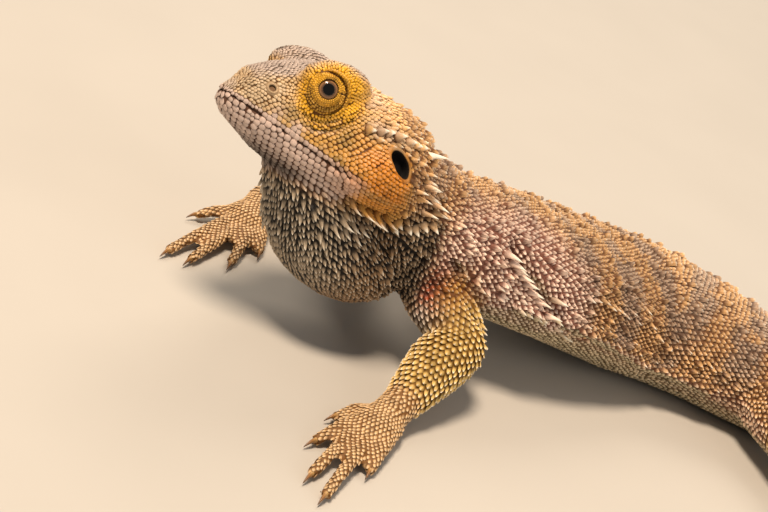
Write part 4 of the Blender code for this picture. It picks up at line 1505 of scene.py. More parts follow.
@dataclass
class Coat:
    """All the scales that follow the skin, in pieces by region."""

    skin: Skin
    lie: Lie
    masks: dict[str, Array]
    seed: int = 11

    REGIONS = {
        "head_scales": (("head",), Slot.HEAD),
        "jaw_scales": (("lower_jaw",), Slot.HEAD),
        "throat_scales": (("beard",), Slot.THROAT),
        "neck_scales": (("neck",), Slot.BODY),
        "shoulder_scales": (("trunk_front",), Slot.BODY),
        "flank_scales": (("trunk_middle",), Slot.BODY),
        "hip_scales": (("trunk_rear",), Slot.BODY),
        "tail_scales": (TAIL, Slot.BODY),
        "arm_scales": (("upper_arm_left", "forearm_left", "upper_arm_right", "forearm_right"), Slot.LIMB),
        "hand_scales": (("hand_left", "hand_right"), Slot.LIMB),
        "leg_scales": (("thigh_left", "shank_left", "thigh_right", "shank_right"), Slot.LIMB),
        "foot_scales": (("foot_left", "foot_right"), Slot.LIMB),
    }
    LIP_NODES = ("head", "lower_jaw")

    def bare(self) -> Array:
        """The faces where no lattice scale grows: lids, nostrils, ear pits and the slit of the mouth.

        Returns:
            True for each face that stays bare.
        """
        head = self.skin.head
        middles = self.skin.on_faces(self.skin.points)
        local = folded(head.local(middles))
        bare = EAR.spread(local - np.array((0.50, 0.0, 0.0)) * MM) < 1.30
        bare |= np.linalg.norm(local - NOSTRIL.place(), axis=1) < 1.9 * MM
        bare |= (np.abs(head.over_mouth(local)) < 0.42 * MM) & (local[:, 0] > -34.5 * MM)
        bare |= LID.spread(local) < LID.edge(local) - 0.35 * MM
        return bare

    def lip_seeds(self) -> Array:
        """Places in rows along both lips, from which the rest of the head's scales grow.

        Returns:
            The places.
        """
        head, seeds = self.skin.head, []
        for over, gap in ((0.78, 1.25), (-0.88, 1.72)):
            row = []
            for turn in np.radians(np.arange(0.0, 138.0, 1.0)):
                for side in (1, -1):
                    forward = -16.0
                    for _ in range(3):
                        up = min(forward, 0.0) * head.mouth_slope + over
                        start = head.world(np.array((-16.0, 0.0, up)) * MM)
                        way = head.turned((math.cos(turn), side * math.sin(turn), 0.0))
                        hit = self.skin.cast(start, way)
                        if hit is None:
                            break
                        forward = head.local(np.array(hit))[0] / MM
                    if hit is not None and forward > -34.5:
                        row.append((side, np.array(hit)))
            for side in (1, -1):
                last = None
                for _, hit in (item for item in row if item[0] == side):
                    if last is None or np.linalg.norm(hit - last) >= gap * MM:
                        seeds.append(hit)
                        last = hit
        return np.array(seeds)

    def body_seeds(self) -> Array:
        """One place on top of each length of flesh that has no lip.

        Returns:
            The places.
        """
        bones = self.skin.skeleton.bones
        starts = [(start + end) / 2 for name, (start, end) in bones.items() if name not in self.LIP_NODES]
        hits = [self.skin.cast(start, (0.0, 0.0, 1.0)) for start in starts]
        return np.array([hit for hit in hits if hit is not None])

    def table(self) -> ScaleTable:
        """Grows the roots and gives each scale its make, a little uneven as in life.

        Returns:
            A row for each scale.
        """
        roots = Roots(self.skin, self.lie, self.bare())
        roots.grow(np.concatenate((self.lip_seeds(), self.body_seeds())))
        roots.grow(self.skin.on_faces(self.skin.points)[::2])
        roots.relax(3)
        places, faces = np.array(roots.places), np.array(roots.faces)
        chance = np.random.default_rng(self.seed)
        count = len(places)
        make = self.lie.make[faces].copy()
        unruly = make[:, COLUMN["unruly"]]
        make[:, COLUMN["across"]] *= 1.0 + chance.uniform(-1.0, 1.0, count) * (0.03 + 0.9 * unruly)
        make[:, COLUMN["dome"]] *= 1.0 + chance.uniform(-0.3, 0.3, count)
        make[:, COLUMN["lift"]] *= 1.0 + chance.uniform(-0.25, 0.45, count)
        make[:, COLUMN["ranks"]] = np.round(make[:, COLUMN["ranks"]])
        normal = self.skin.face_normals[faces]
        across = np.cross(normal, self.lie.way[faces])
        way = self.lie.way[faces] + across * (chance.normal(0.0, 1.0, count) * (0.03 + 1.3 * unruly))[:, None]
        way = unit(way - dot(way, normal)[:, None] * normal)
        drift = chance.normal(0.0, 1.0, (2, count, 1)) * (make[:, 0] * unruly)[:, None]
        places = places + way * drift[0] + across * drift[1]
        owner = self.skin.owner[self.skin.loops[self.skin.starts[faces]]]
        self.roughen(make, owner, places, normal, chance)
        masks = {name: self.skin.on_faces(values)[faces] for name, values in self.masks.items()}
        pale = np.clip(make[:, COLUMN["keel"]] * 1.1, 0.15, 1.0)
        spots = self.unrolled(places, owner)
        shade = chance.uniform(-1.0, 1.0, count) * 0.5
        return ScaleTable(places, normal, way, make, shade, pale, masks, spots, owner)

    def roughen(
        self, make: Array, owner: Array, places: Array, normal: Array, chance: np.random.Generator
    ) -> None:
        """Raises some scales of the trunk, neck, tail and back of the head into short spines.

        Args:
            make: the makes, changed in place.
            owner: the node under each scale.
            places: their roots.
            normal: the skin's normals there.
            chance: the source of random numbers.
        """
        nodes = np.array(self.skin.nodes)[owner]
        local = self.skin.head.local(places) / MM
        share = np.where(np.char.startswith(nodes, "trunk"), 0.08, 0.0)
        share += np.where(nodes == "neck", 0.13, 0.0) + np.where(np.char.startswith(nodes, "tail"), 0.08, 0.0)
        share += np.where((nodes == "head") & (local[:, 0] < -30) & (local[:, 2] > 3), 0.18, 0.0)
        share += np.where(np.char.startswith(nodes, "thigh"), 0.08, 0.0)
        share *= step(-0.4, 0.1, normal[:, 2])
        share += np.where((nodes == "beard") & (local[:, 2] > -26), 0.10, 0.0)
        tall = chance.random(len(places)) < share
        for name, change in (("across", 1.35), ("keel", 1.5), ("lift", 2.0), ("dome", 1.6), ("cover", 1.12)):
            make[tall, COLUMN[name]] *= change

    def unrolled(self, places: Array, owner: Array) -> Array:
        """The place of each root on its region's unrolled skin, each region filling its own square.

        Args:
            places: the roots.
            owner: the node under each.

        Returns:
            Two numbers from 0 to 1 for each root.
        """
        spots = np.zeros((len(places), 2))
        for nodes, _ in self.REGIONS.values():
            for column, name in enumerate(nodes):
                chosen = owner == self.skin.nodes.index(name)
                if not chosen.any():
                    continue
                turn, share = self.skin.skeleton.around(name, places[chosen])
                low, high = share.min(), max(share.max(), share.min() + 1e-6)
                room = 1.0 / len(nodes)
                spots[chosen, 0] = room * (column + 0.02 + 0.96 * np.clip(turn, 0, 1))
                spots[chosen, 1] = 0.01 + 0.98 * (share - low) / (high - low)
        return spots

    def build(self, finish: Material) -> None:
        """Makes a piece for each region.

        Args:
            finish: the scaly material.
        """
        table, form = self.table(), ScaleForm()
        LOG.info("lattice: %d scales", len(table.places))
        for name, (nodes, slot) in self.REGIONS.items():
            chosen = np.isin(table.owner, [self.skin.nodes.index(node) for node in nodes])
            form.shapes(table.chosen(chosen)).piece(name, finish, slot)


# ---- Lids, nostrils, eyes ----
@dataclass(frozen=True)
class LidSize:
    """The scaly lids round an eye, about an axis that leans forward from straight out."""

    place: Triple = (-19.0 * MM, 10.2 * MM, 10.2 * MM)
    axis: Triple = (0.34, 0.93, 0.12)
    ball: float = 4.0 * MM
    opening: float = 2.45 * MM
    thick: float = 0.40 * MM

    def axes(self) -> Array:
        """The directions of the lids, in the head's frame.

        Returns:
            Rows: towards the rear corner, up, and out of the eye.
        """
        out = unit(np.array(self.axis))
        up = unit(np.array((0.0, 0.0, 1.0)) - out * out[2])
        return np.array((np.cross(up, out), up, out))

    def spread(self, local: Array) -> Array:
        """How far each folded place lies from the eye's axis.

        Args:
            local: the places.

        Returns:
            One distance for each, far for those behind the eye.
        """
        offset = local - np.array(self.place)
        out = self.axes()[2]
        away = np.linalg.norm(offset - (offset @ out)[:, None] * out, axis=1)
        return np.where(offset @ out > -1 * MM, away, 1.0)

    def reach(self, turn: Array) -> Array:
        """How far out the lids run at each angle: least above, under the brow."""
        return (5.9 + 0.8 * np.cos(turn) - 0.5 * np.sin(turn)) * MM

    def pouch(self, local: Array) -> Array:
        """Finds the two creases behind and below the lids.

        Args:
            local: folded places of the head.

        Returns:
            How deep each lies in them, from 0 to 1.
        """
        rear, up, _ = self.axes()
        offset = local - np.array(self.place)
        turn = np.degrees(np.arctan2(offset @ up, offset @ rear))
        away = self.spread(local) / MM
        near = hill(away, 7.7, 0.45) * step(-128.0, -105.0, turn) * step(-20.0, -50.0, turn)
        far = hill(away, 9.6, 0.50) * step(-108.0, -82.0, turn) * step(28.0, 4.0, turn)
        return (near + far) * (local[:, 1] > 0)

    def edge(self, local: Array) -> Array:
        """The reach of the lids in the direction of each folded place.

        Args:
            local: the places.

        Returns:
            One distance for each.
        """
        rear, up, _ = self.axes()
        offset = local - np.array(self.place)
        return self.reach(np.arctan2(offset @ up, offset @ rear))


LID = LidSize()


@dataclass
class Lids:
    """The lids of one eye and the granules on them."""

    skin: Skin
    side: Side
    rings: int = 34
    spokes: int = 96
    tuck: float = 0.9 * MM

    def frame(self) -> tuple[Array, Array]:
        """The middle of the eye and the lid axes, in the part's frame."""
        head, mirror = self.skin.head, self.side.mirror
        return head.world(np.array(LID.place) * mirror), head.turned(LID.axes() * mirror)

    def surface(self, radius: Array, turn: Array) -> Array:
        """Places on the lids.

        Args:
            radius: distances from the eye's axis.
            turn: angles round it, 0 at the rear corner and a quarter turn at the top.

        Returns:
            The places, in the part's frame.
        """
        middle, (rear, up, out) = self.frame()
        flat = rear * (radius * np.cos(turn))[:, None] + up * (radius * np.sin(turn))[:, None]
        cover = self.skin.heights(middle + flat + out * 20 * MM, middle, out)
        shell = LID.ball + LID.thick
        dome = np.sqrt(np.maximum(shell**2 - radius**2, 0.0))
        dome = dome - 4 * MM * step(shell * 0.86, shell * 1.1, radius)
        reach = LID.reach(turn)
        cover = cover + 0.42 * MM * step(reach, reach - 1.6 * MM, radius)
        cover = cover - 0.25 * MM * step(reach - 0.5 * MM, reach, radius)
        gap = 0.5 * MM
        share = np.clip(0.5 + 0.5 * (dome - cover) / gap, 0.0, 1.0)
        height = cover + (dome - cover) * share + gap * share * (1 - share) * 0.5
        height += self.folds(radius, turn) * step(reach, reach - 0.8 * MM, radius)
        return middle + flat + out * height[:, None]

    def crease_at(self, turn: Array) -> Array:
        """How far out the crease round the lids runs, in millimetres: close above, far below."""
        return 5.1 - 1.05 * np.sin(turn) - 0.27 * np.cos(turn) + 0.15 * np.cos(2 * turn)

    def folds(self, radius: Array, turn: Array) -> Array:
        """The creases that circle the eye, the pouch under it, its brow and the cut at its rear corner.

        Args:
            radius: distances from the eye's axis.
            turn: angles round it.

        Returns:
            How high each place stands, in metres.
        """
        r, above, around = radius / MM, np.sin(turn), self.crease_at(turn)
        below = step(0.2, -0.6, above)
        crease = -0.55 * hill(r, around, 0.30) - 0.22 * hill(r, 4.15, 0.30) * below
        bulge = 0.26 * hill(r, around + 0.65, 0.40) + 0.16 * hill(r, around - 0.7, 0.35)
        bulge = bulge + 0.16 * hill(r, 3.1, 0.45)
        brow = 0.55 * step(0.1, 0.9, above) * step(around + 0.1, around + 1.0, r)
        return (crease + bulge + brow - 0.30 * self.corner(r, turn)) * MM

    def corner(self, r: Array, turn: Array) -> Array:
        """The cut from the rear corner of the eye to the crease, from 0 to 1."""
        return hill(np.sin(turn - 0.12) * r, 0.0, 0.17) * (np.cos(turn) > 0) * step(5.0, 4.4, r)

    def gloom(self, radius: Array, turn: Array) -> Array:
        """How much painted shade lies in the creases, the pouch, the cut at the rear corner and along the
        edge of the lids, from 0 to 1.

        Args:
            radius: distances from the eye's axis.
            turn: angles round it.

        Returns:
            One number for each place.
        """
        r, above, around = radius / MM, np.sin(turn), self.crease_at(turn)
        below = step(0.1, -0.6, above)
        behind = step(-0.3, 0.6, 0.85 * np.cos(turn) + 0.5 * above)
        ring = hill(r, around, 0.32) * (0.12 + 0.6 * behind + 0.35 * below)
        pouch = 0.55 * below * step(3.7, 4.2, r) * step(around - 0.2, around - 0.7, r)
        return np.clip(ring + pouch + 0.8 * self.corner(r, turn) + 0.9 * step(2.66, 2.50, r), 0, 1)

    def masks(self, points: Array, gloom: Array) -> dict[str, Array]:
        """The markings at these places: bright lids with olive flecks, and painted shade in the creases.

        Args:
            points: the places.
            gloom: how much painted shade lies on each.

        Returns:
            The share of each tint.
        """
        held = {tint.name: np.zeros(len(points)) for tint in TINTS}
        flecks = mottle(points, 0.9 * MM, 21)
        held["cheek"] = np.ones(len(points))
        held["yellow"] = 0.65 + 0.35 * mottle(points, 2.2 * MM, 22)
        # pit: painted shade by gloom, plus dark flecks of the lids' own colour.
        held["pit"] = np.clip(0.70 * gloom + 0.35 * step(0.66, 0.85, flecks), 0, 1)
        return held

    def build(self, finish: Material) -> None:
        """Makes the lids and their granules.

        Args:
            finish: the scaly material.
        """
        shares = np.linspace(0, 1, self.rings)
        turns = np.linspace(0, math.tau, self.spokes, endpoint=False)
        share, turn = crossed(shares, turns)
        radius = LID.opening + (LID.reach(turn) - LID.opening) * share
        points = self.surface(radius, turn)
        inner = points[: self.spokes].copy()
        out = self.frame()[1][2]
        points = np.concatenate((points, inner - out * self.tuck))
        quads = []
        for ring, spoke in product(range(self.rings + 1), range(self.spokes)):
            first, second = ring * self.spokes, (ring + 1) % (self.rings + 1) * self.spokes
            ahead = (spoke + 1) % self.spokes
            quads.append((first + spoke, second + spoke, second + ahead, first + ahead))
        quads = np.array(quads)[:, :: self.side.value]
        # Painted shade: the creases are darker, and the ring tucked under the skin is dark all through.
        gloom = np.concatenate((self.gloom(radius, turn), np.ones(self.spokes)))
        plain = np.zeros(len(points))
        numbers = {**self.masks(points, gloom), "rise": 0.40 * (1 - gloom), "shade": plain, "pale": plain}
        Shape(points, quads, numbers).piece(f"lids_{self.side.word}", finish, Slot.HEAD)
        self.granules(finish)

    def granules(self, finish: Material) -> None:
        """Rings of small scales, smallest at the edge of the lids.

        Args:
            finish: the scaly material.
        """
        radii, turns, sizes = [], [], []
        radius, ring = LID.opening + 0.18 * MM, 0
        while radius < LID.reach(-math.pi / 2):
            size = (0.44 + 0.075 * (radius / MM - 2.4)) * MM
            count = round(math.tau * radius / (size * 1.04))
            for index in range(count):
                radii.append(radius)
                turns.append(math.tau * (index + 0.5 * (ring % 2)) / count)
                sizes.append(size)
            radius += size * 0.90
            ring += 1
        radius, turn, size = np.array(radii), np.array(turns), np.array(sizes)
        inside = radius < LID.reach(turn) - 0.1 * MM
        radius, turn, size = radius[inside], turn[inside], size[inside]
        chance = np.random.default_rng(5)
        loose = step(2.6, 3.6, radius / MM)
        radius = radius + chance.uniform(-0.16, 0.16, len(radius)) * size * loose
        turn = turn + chance.uniform(-0.22, 0.22, len(turn)) * size / radius * loose
        tiny = 0.05 * MM
        places = self.surface(radius, turn)
        outward = unit(self.surface(radius + tiny, turn) - self.surface(radius - tiny, turn))
        around = unit(self.surface(radius, turn + tiny / radius) - self.surface(radius, turn - tiny / radius))
        _, (_, _, out) = self.frame()
        normal = unit(np.cross(outward, around))
        normal *= np.sign(normal @ out)[:, None]
        count = len(places)
        make = np.tile(ScaleKind(1.0, 1.0, 0.05, 0.06, 0.15, 0.26, 1.04).row(), (count, 1))
        make[:, 0] = size * chance.uniform(0.90, 1.12, count)
        gloom = self.gloom(radius, turn)
        # Painted shade: granules in the creases are darker.
        shade = chance.uniform(-0.6, 0.5, count) - 0.5 * gloom
        spots = np.stack((turn / math.tau % 1 * 0.98 + 0.01, (radius / LID.reach(turn)) * 0.98), axis=1)
        pale = np.full(count, 0.15)
        masks = self.masks(places, gloom)
        owner = np.zeros(count, int)
        table = ScaleTable(places, normal, outward, make, shade, pale, masks, spots, owner)
        ScaleForm(soft=0.35).shapes(table).piece(f"lid_granules_{self.side.word}", finish, Slot.HEAD)


@dataclass
class Eyeball:
    """An eyeball with the slight swell of its cornea."""

    skin: Skin
    side: Side
    rings: int = 40
    spokes: int = 64

    def build(self, finish: Material) -> None:
        """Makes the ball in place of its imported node.

        Args:
            finish: the eye's material.
        """
        middle, (rear, up, out) = Lids(self.skin, self.side).frame()
        lean = np.linspace(0.0, math.pi, self.rings + 1)[1:-1]
        turn = np.linspace(0.0, math.tau, self.spokes, endpoint=False)
        lean, turn = crossed(lean, turn)
        swell = LID.ball * (1.0 + 0.035 * step(0.75, 0.45, lean))
        flat = rear * np.cos(turn)[:, None] + up * np.sin(turn)[:, None]
        points = middle + (flat * np.sin(lean)[:, None] + out * np.cos(lean)[:, None]) * swell[:, None]
        points = np.concatenate((points, [middle + out * LID.ball * 1.035, middle - out * LID.ball]))
        faces = tube(self.rings - 1, self.spokes, tips=True)[:, :: self.side.value]
        ring = np.concatenate((np.sin(np.minimum(lean, math.pi / 2)), [0.0, 1.0]))
        thing = Shape(points, faces, {"ring": ring}).piece(f"eyeball_{self.side.word}", finish, Slot.EYE)
        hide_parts(f"eye_{self.side.word}")


@dataclass
class Rim:
    """The raised rim round an ear or nostril, and the walls and floor of the pit inside it."""

    skin: Skin
    masks: dict[str, Array]
    side: Side
    name: str
    opening: Opening
    outer: float
    lip: float
    lip_at: float
    lip_width: float
    slope: float
    # gloom: how much painted shade lies inside the pit.
    gloom: float = 1.0
    rings: int = 30
    spokes: int = 56
    rise: float = 0.42
    core: float = 0.06
    under: float = 1.15
    above: float = 8 * MM
    clear: float = 0.06 * MM
    tuck: float = 0.40 * MM
    tuck_width: float = 0.25
    floor_thick: float = 0.6 * MM

    def build(self, finish: Material) -> None:
        """Makes the rim as one closed piece, its edge tucked under the skin.

        Args:
            finish: the scaly material.
        """
        head, mirror = self.skin.head, self.side.mirror
        lean = math.radians(self.opening.lean)
        spokes = np.linspace(0, math.tau, self.spokes, endpoint=False)
        local = head.local(self.skin.points) * mirror
        about = (np.abs(self.opening.spread(local) - self.outer) < 0.15 * self.outer) & (local[:, 1] > 0)
        out = unit(self.skin.normals[about].mean(axis=0))
        middle = head.world(self.opening.place() * mirror)
        middle = middle + out * ((self.skin.points[about].mean(axis=0) - middle) @ out)
        ways = np.array(((math.cos(lean), 0.0, math.sin(lean)), (-math.sin(lean), 0.0, math.cos(lean))))
        along, high = head.turned(ways * mirror)
        outward = head.turned(np.array((0.0, 1.0, 0.0)) * mirror)
        along, high = (way - outward * (way @ out) / (outward @ out) for way in (along, high))
        edge = self.flat(along, high, np.full(self.spokes, self.outer), spokes)
        rim_heights = self.skin.heights(middle + edge + out * self.above, middle, out)
        rings = np.append(np.linspace(self.core, self.outer, self.rings - 1), self.under)
        spread, turn = crossed(rings, spokes)
        share = spread / self.outer
        crown = rim_heights.mean() + 0.10 * self.outer * self.opening.half_length
        heights = crown + (np.tile(rim_heights, self.rings) - crown) * share**2
        on_skin = (spread > 1.0) & (spread < self.outer - 0.3)
        starts = middle + self.flat(along, high, spread, turn)[on_skin] + out * self.above
        found = self.skin.heights(starts, middle, out, missed=-1.0)
        heights[on_skin] = np.maximum(heights[on_skin], found + self.clear)
        heights += self.lip * hill(spread, self.lip_at, self.lip_width)
        heights -= self.opening.deep * step(1.0, 1.0 - self.slope, spread)
        heights -= self.tuck * step(self.outer - self.tuck_width, self.outer, spread)
        bottom = crown - self.opening.deep
        heights[-self.spokes :] = bottom - self.floor_thick
        points = middle + self.flat(along, high, spread, turn) + out * heights[:, None]
        ends = [points[: self.spokes].mean(axis=0), middle + out * (bottom - 2 * self.floor_thick)]
        self.shape(np.concatenate((points, ends)), np.concatenate((spread, [0.0, 0.0])), finish)

    def flat(self, along: Array, high: Array, spread: Array, turn: Array) -> Array:
        """Offsets in the plane of the opening."""
        first = along * (self.opening.half_length * spread * np.cos(turn))[:, None]
        return first + high * (self.opening.half_height * spread * np.sin(turn))[:, None]

    def shape(self, points: Array, spread: Array, finish: Material) -> None:
        """Joins the rings and colours them as the skin about them, with painted shade inside.

        Args:
            points: the rings from the middle outwards, then the two tips.
            spread: how far out each point lies, 1 on the opening's edge.
            finish: the scaly material.
        """
        faces = tube(self.rings, self.spokes, tips=True)[:, :: self.side.value]
        nearest = np.array([self.skin.tree.find_nearest(Vector(point))[2] for point in points])
        held = {name: self.skin.on_faces(values)[nearest] for name, values in self.masks.items()}
        # Painted shade on the walls and floor of the pit.
        held["pit"] = self.gloom * step(1.10, 1.0, spread)
        plain = np.zeros(len(points))
        numbers = {**held, "rise": plain + self.rise, "shade": plain, "pale": plain}
        Shape(points, faces, numbers).piece(f"{self.name}_{self.side.word}", finish, Slot.HEAD)


# ---- Spines ----
@dataclass(frozen=True)
class SpineRow:
    """A row of spines on both sides, in the head's frame. Places and sizes are in millimetres."""

    start: Triple
    end: Triple
    count: int
    length: float
    thick: float
    way: Triple
    tip_way: Triple
    bright: float = 1.0


BACKWARD = (-0.73, 0.68, 0.20)
FLAP_WAY = (-0.60, 0.75, -0.20)
FLAP_TIP_WAY = (-0.75, 0.60, -0.25)
SPINE_ROWS = (
    SpineRow((-31.0, 15.6, 6.2), (-47.0, 16.5, 7.8), 7, 2.9, 1.6, (-0.5, 0.75, 0.45), (-0.8, 0.6, 0.2)),
    SpineRow((-35.0, 16.0, 4.4), (-47.5, 17.5, 4.2), 6, 2.2, 1.15, (-0.5, 0.75, 0.3), (-0.8, 0.6, 0.1), 0.5),
    SpineRow((-37.0, 14.5, 9.2), (-48.0, 15.0, 9.6), 5, 2.3, 1.1, (-0.5, 0.6, 0.6), (-0.8, 0.4, 0.4), 0.6),
    SpineRow((-51.6, 17.2, 8.2), (-51.6, 17.2, 8.2), 1, 5.8, 1.1,
             (-0.76, 0.6, 0.34), (-0.84, 0.5, 0.26), 1.5),
    SpineRow((-50.5, 17.0, 2.5), (-54.5, 16.0, -1.5), 3, 4.0, 0.85, BACKWARD, (-0.85, 0.52, 0.05)),
    SpineRow((-52.0, 16.5, -1.0), (-57.5, 15.5, -5.5), 4, 6.2, 0.95, BACKWARD, (-0.88, 0.46, -0.05)),
    SpineRow((-50.0, 17.5, -3.0), (-54.5, 17.0, -7.5), 3, 4.6, 0.9, BACKWARD, (-0.85, 0.5, -0.1)),
    SpineRow((-49.5, 14.4, -13.6), (-59.0, 16.0, -8.6), 6, 3.5, 1.4, (-0.35, 0.75, -0.6), (-0.62, 0.5, -0.6)),
    SpineRow((-35.5, 14.2, -12.0), (-46.0, 15.5, -12.5), 5, 7.0, 0.95,
             (-0.2, 0.7, -0.75), (-0.9, 0.35, -0.2), 0.95),
    SpineRow((-36.5, 13.0, -15.2), (-46.0, 14.4, -15.0), 4, 6.4, 0.9,
             (-0.2, 0.65, -0.8), (-0.9, 0.32, -0.22), 0.95),
    SpineRow((-36.0, 12.4, -18.2), (-42.0, 13.2, -17.8), 3, 5.0, 0.8,
             (-0.25, 0.6, -0.85), (-0.8, 0.35, -0.4), 0.8),
    SpineRow((-62.0, 13.0, -4.0), (-68.0, 12.5, -8.5), 4, 3.0, 0.8, BACKWARD, (-0.85, 0.45, -0.2), 0.8),
    SpineRow((-81.0, 17.0, -8.4), (-101.0, 19.0, -17.4), 9, 5.6, 1.15,
             (-0.62, 0.75, 0.15), (-0.85, 0.5, -0.1), 1.1),
    SpineRow((-84.0, 19.0, -18.0), (-100.0, 20.0, -26.0), 7, 2.8, 1.0, FLAP_WAY, (-0.8, 0.55, -0.25), 0.9),
    SpineRow((-78.0, 18.0, -17.5), (-89.0, 20.0, -27.0), 5, 2.4, 0.95, FLAP_WAY, FLAP_TIP_WAY),
    SpineRow((-86.0, 18.5, -15.0), (-100.0, 19.5, -21.5), 6, 2.2, 0.85, FLAP_WAY, FLAP_TIP_WAY),
    SpineRow((-104.0, 18.0, -20.0), (-113.0, 16.5, -27.0), 4, 3.2, 0.95,
             (-0.6, 0.75, -0.1), (-0.85, 0.5, -0.2)),
)


@dataclass
class Spines:
    """Curved cones: on the head, round the beard, behind the arms and along the flanks."""

    skin: Skin
    masks: dict[str, Array]
    seed: int = 17
    ring_count: int = 7
    points_round: int = 8
    pale_over: float = 1.2
    rows: list = field(default_factory=list)

    def add(
        self, target: Array, way: Array, tip_way: Array, length: float, thick: float, bright: float
    ) -> None:
        """Notes one spine at the nearest place on the skin.

        Args:
            target: a place near its root.
            way: the way it sets off.
            tip_way: the way its tip points.
            length: its length, in metres.
            thick: its radius at the root, in metres.
            bright: how pale its point is, 1 as usual. A spine far above 1 is pale from its root.
        """
        found, _, face, _ = self.skin.tree.find_nearest(Vector(target))
        normal = self.skin.face_normals[face]
        way = way + normal * max(0.0, 0.35 - way @ normal)
        self.rows.append((np.array(found), normal, unit(way), unit(tip_way), length, thick, bright, face))

    def head_rows(self) -> None:
        """The rows given in the head's frame."""
        head, chance = self.skin.head, np.random.default_rng(self.seed)
        for row, side in product(SPINE_ROWS, Side):
            for index in range(row.count):
                share = index / max(row.count - 1, 1)
                place = np.array(row.start) * (1 - share) + np.array(row.end) * share
                if row.count > 1:
                    place = place + chance.normal(0, 0.3, 3)
                size = chance.uniform(0.82, 1.12) if row.count > 1 else 1.0
                lean = chance.normal(0, 0.07, 3)
                ways = (head.turned(np.array(way) * side.mirror + lean) for way in (row.way, row.tip_way))
                target = head.world(place * side.mirror * MM)
                self.add(target, *ways, row.length * size * MM, row.thick * MM, row.bright)

    def flank_rows(self) -> None:
        """The fringe along each side, from the armpit to the groin, and a lower, smaller row."""
        chance = np.random.default_rng(self.seed + 1)
        for side, (tilt, length, thick, gap) in product(Side, ((18, 3.8, 0.85, 0.030), (2, 2.6, 0.7, 0.034))):
            share = 0.34
            while share < 0.93:
                middle, back = self.skin.skeleton.trunk_line(share)
                out = unit(np.cross(back, (0.0, 0.0, 1.0)))
                out = out * math.copysign(1.0, out[0]) * side.value
                turn = math.radians(tilt + chance.normal(0, 2.5))
                hit = self.skin.cast(middle, out * math.cos(turn) + np.array((0, 0, math.sin(turn))))
                if hit is not None:
                    lean = chance.normal(0, 0.08, 3)
                    way = back * 0.7 + out * 0.7 + lean
                    tip_way = back + out * 0.35 + np.array((0, 0, -0.1)) + lean
                    size = chance.uniform(0.75, 1.15) * (1 - 0.3 * share)
                    self.add(np.array(hit), way, tip_way, length * size * MM, thick * size * MM, 0.9)
                share += gap * chance.uniform(0.8, 1.2)

    def build(self, finish: Material) -> None:
        """Makes all the spines as one piece.

        Args:
            finish: the scaly material.
        """
        self.head_rows()
        self.flank_rows()
        columns = (np.array(column) for column in zip(*self.rows))
        found, normal, way, tip_way, length, thick, bright, face = columns
        count = len(found)
        turns = np.linspace(0.0, math.tau, self.points_round, endpoint=False)
        points, rise = [], []
        for share in np.linspace(0.0, 1.0, self.ring_count + 1):
            bent = way * (share - 0.5 * share**2) + tip_way * 0.5 * share**2
            path = found + bent * length[:, None] - normal * 0.3 * MM
            along = unit(way * (1 - share) + tip_way * share)
            side = unit(np.cross(along, normal))
            upright = np.cross(side, along)
            radius = thick * (1.0 - share) ** 0.9 + 0.025 * MM
            wide, tall = side * radius[:, None], upright * (radius * 0.8)[:, None]
            ring = [path + wide * math.cos(turn) + tall * math.sin(turn) for turn in turns]
            points.append(np.stack(ring, axis=1))
            rise.append(np.full((count, self.points_round), share))
        points, rise = np.concatenate(points, axis=1), np.concatenate(rise, axis=1)
        points[..., 2] = np.maximum(points[..., 2], FLOOR_GAP)
        size = points.shape[1]
        faces = tube(self.ring_count + 1, self.points_round)[:, ::-1]
        masks = {name: self.skin.on_faces(values)[face] for name, values in self.masks.items()}
        masks = {name: np.repeat(values, size) for name, values in masks.items()}
        masks["pit"] = np.zeros(count * size)
        strength = np.repeat(bright, size)
        whole = np.where(strength > self.pale_over, 0.75, 0.05)
        shades = np.repeat(np.random.default_rng(3).uniform(-0.3, 0.6, count), size)
        numbers = {
            **masks,
            "rise": whole + (1.0 - whole) * rise.ravel() ** 0.7,
            "pale": np.clip(rise.ravel() * 2.4 - 0.4 + whole - 0.05, 0, 1.3) * strength,
            "shade": shades,
        }
        across = math.ceil(math.sqrt(count))
        grid = np.stack((np.arange(count) % across, np.arange(count) // across), axis=1) / across
        ring_place = np.tile(turns, self.ring_count + 1) / math.tau - 0.5
        patch = np.stack((ring_place, rise[0] - 0.5), axis=1) * PATCH
        corners = (0.02 + 0.96 * grid[:, None] + patch[None])[:, faces.ravel()].reshape(-1, 2)
        every = (faces[None] + (np.arange(count) * size)[:, None, None]).reshape(-1, 3)
        Shape(points.reshape(-1, 3), every, numbers, None, corners).piece("spines", finish, Slot.BODY)


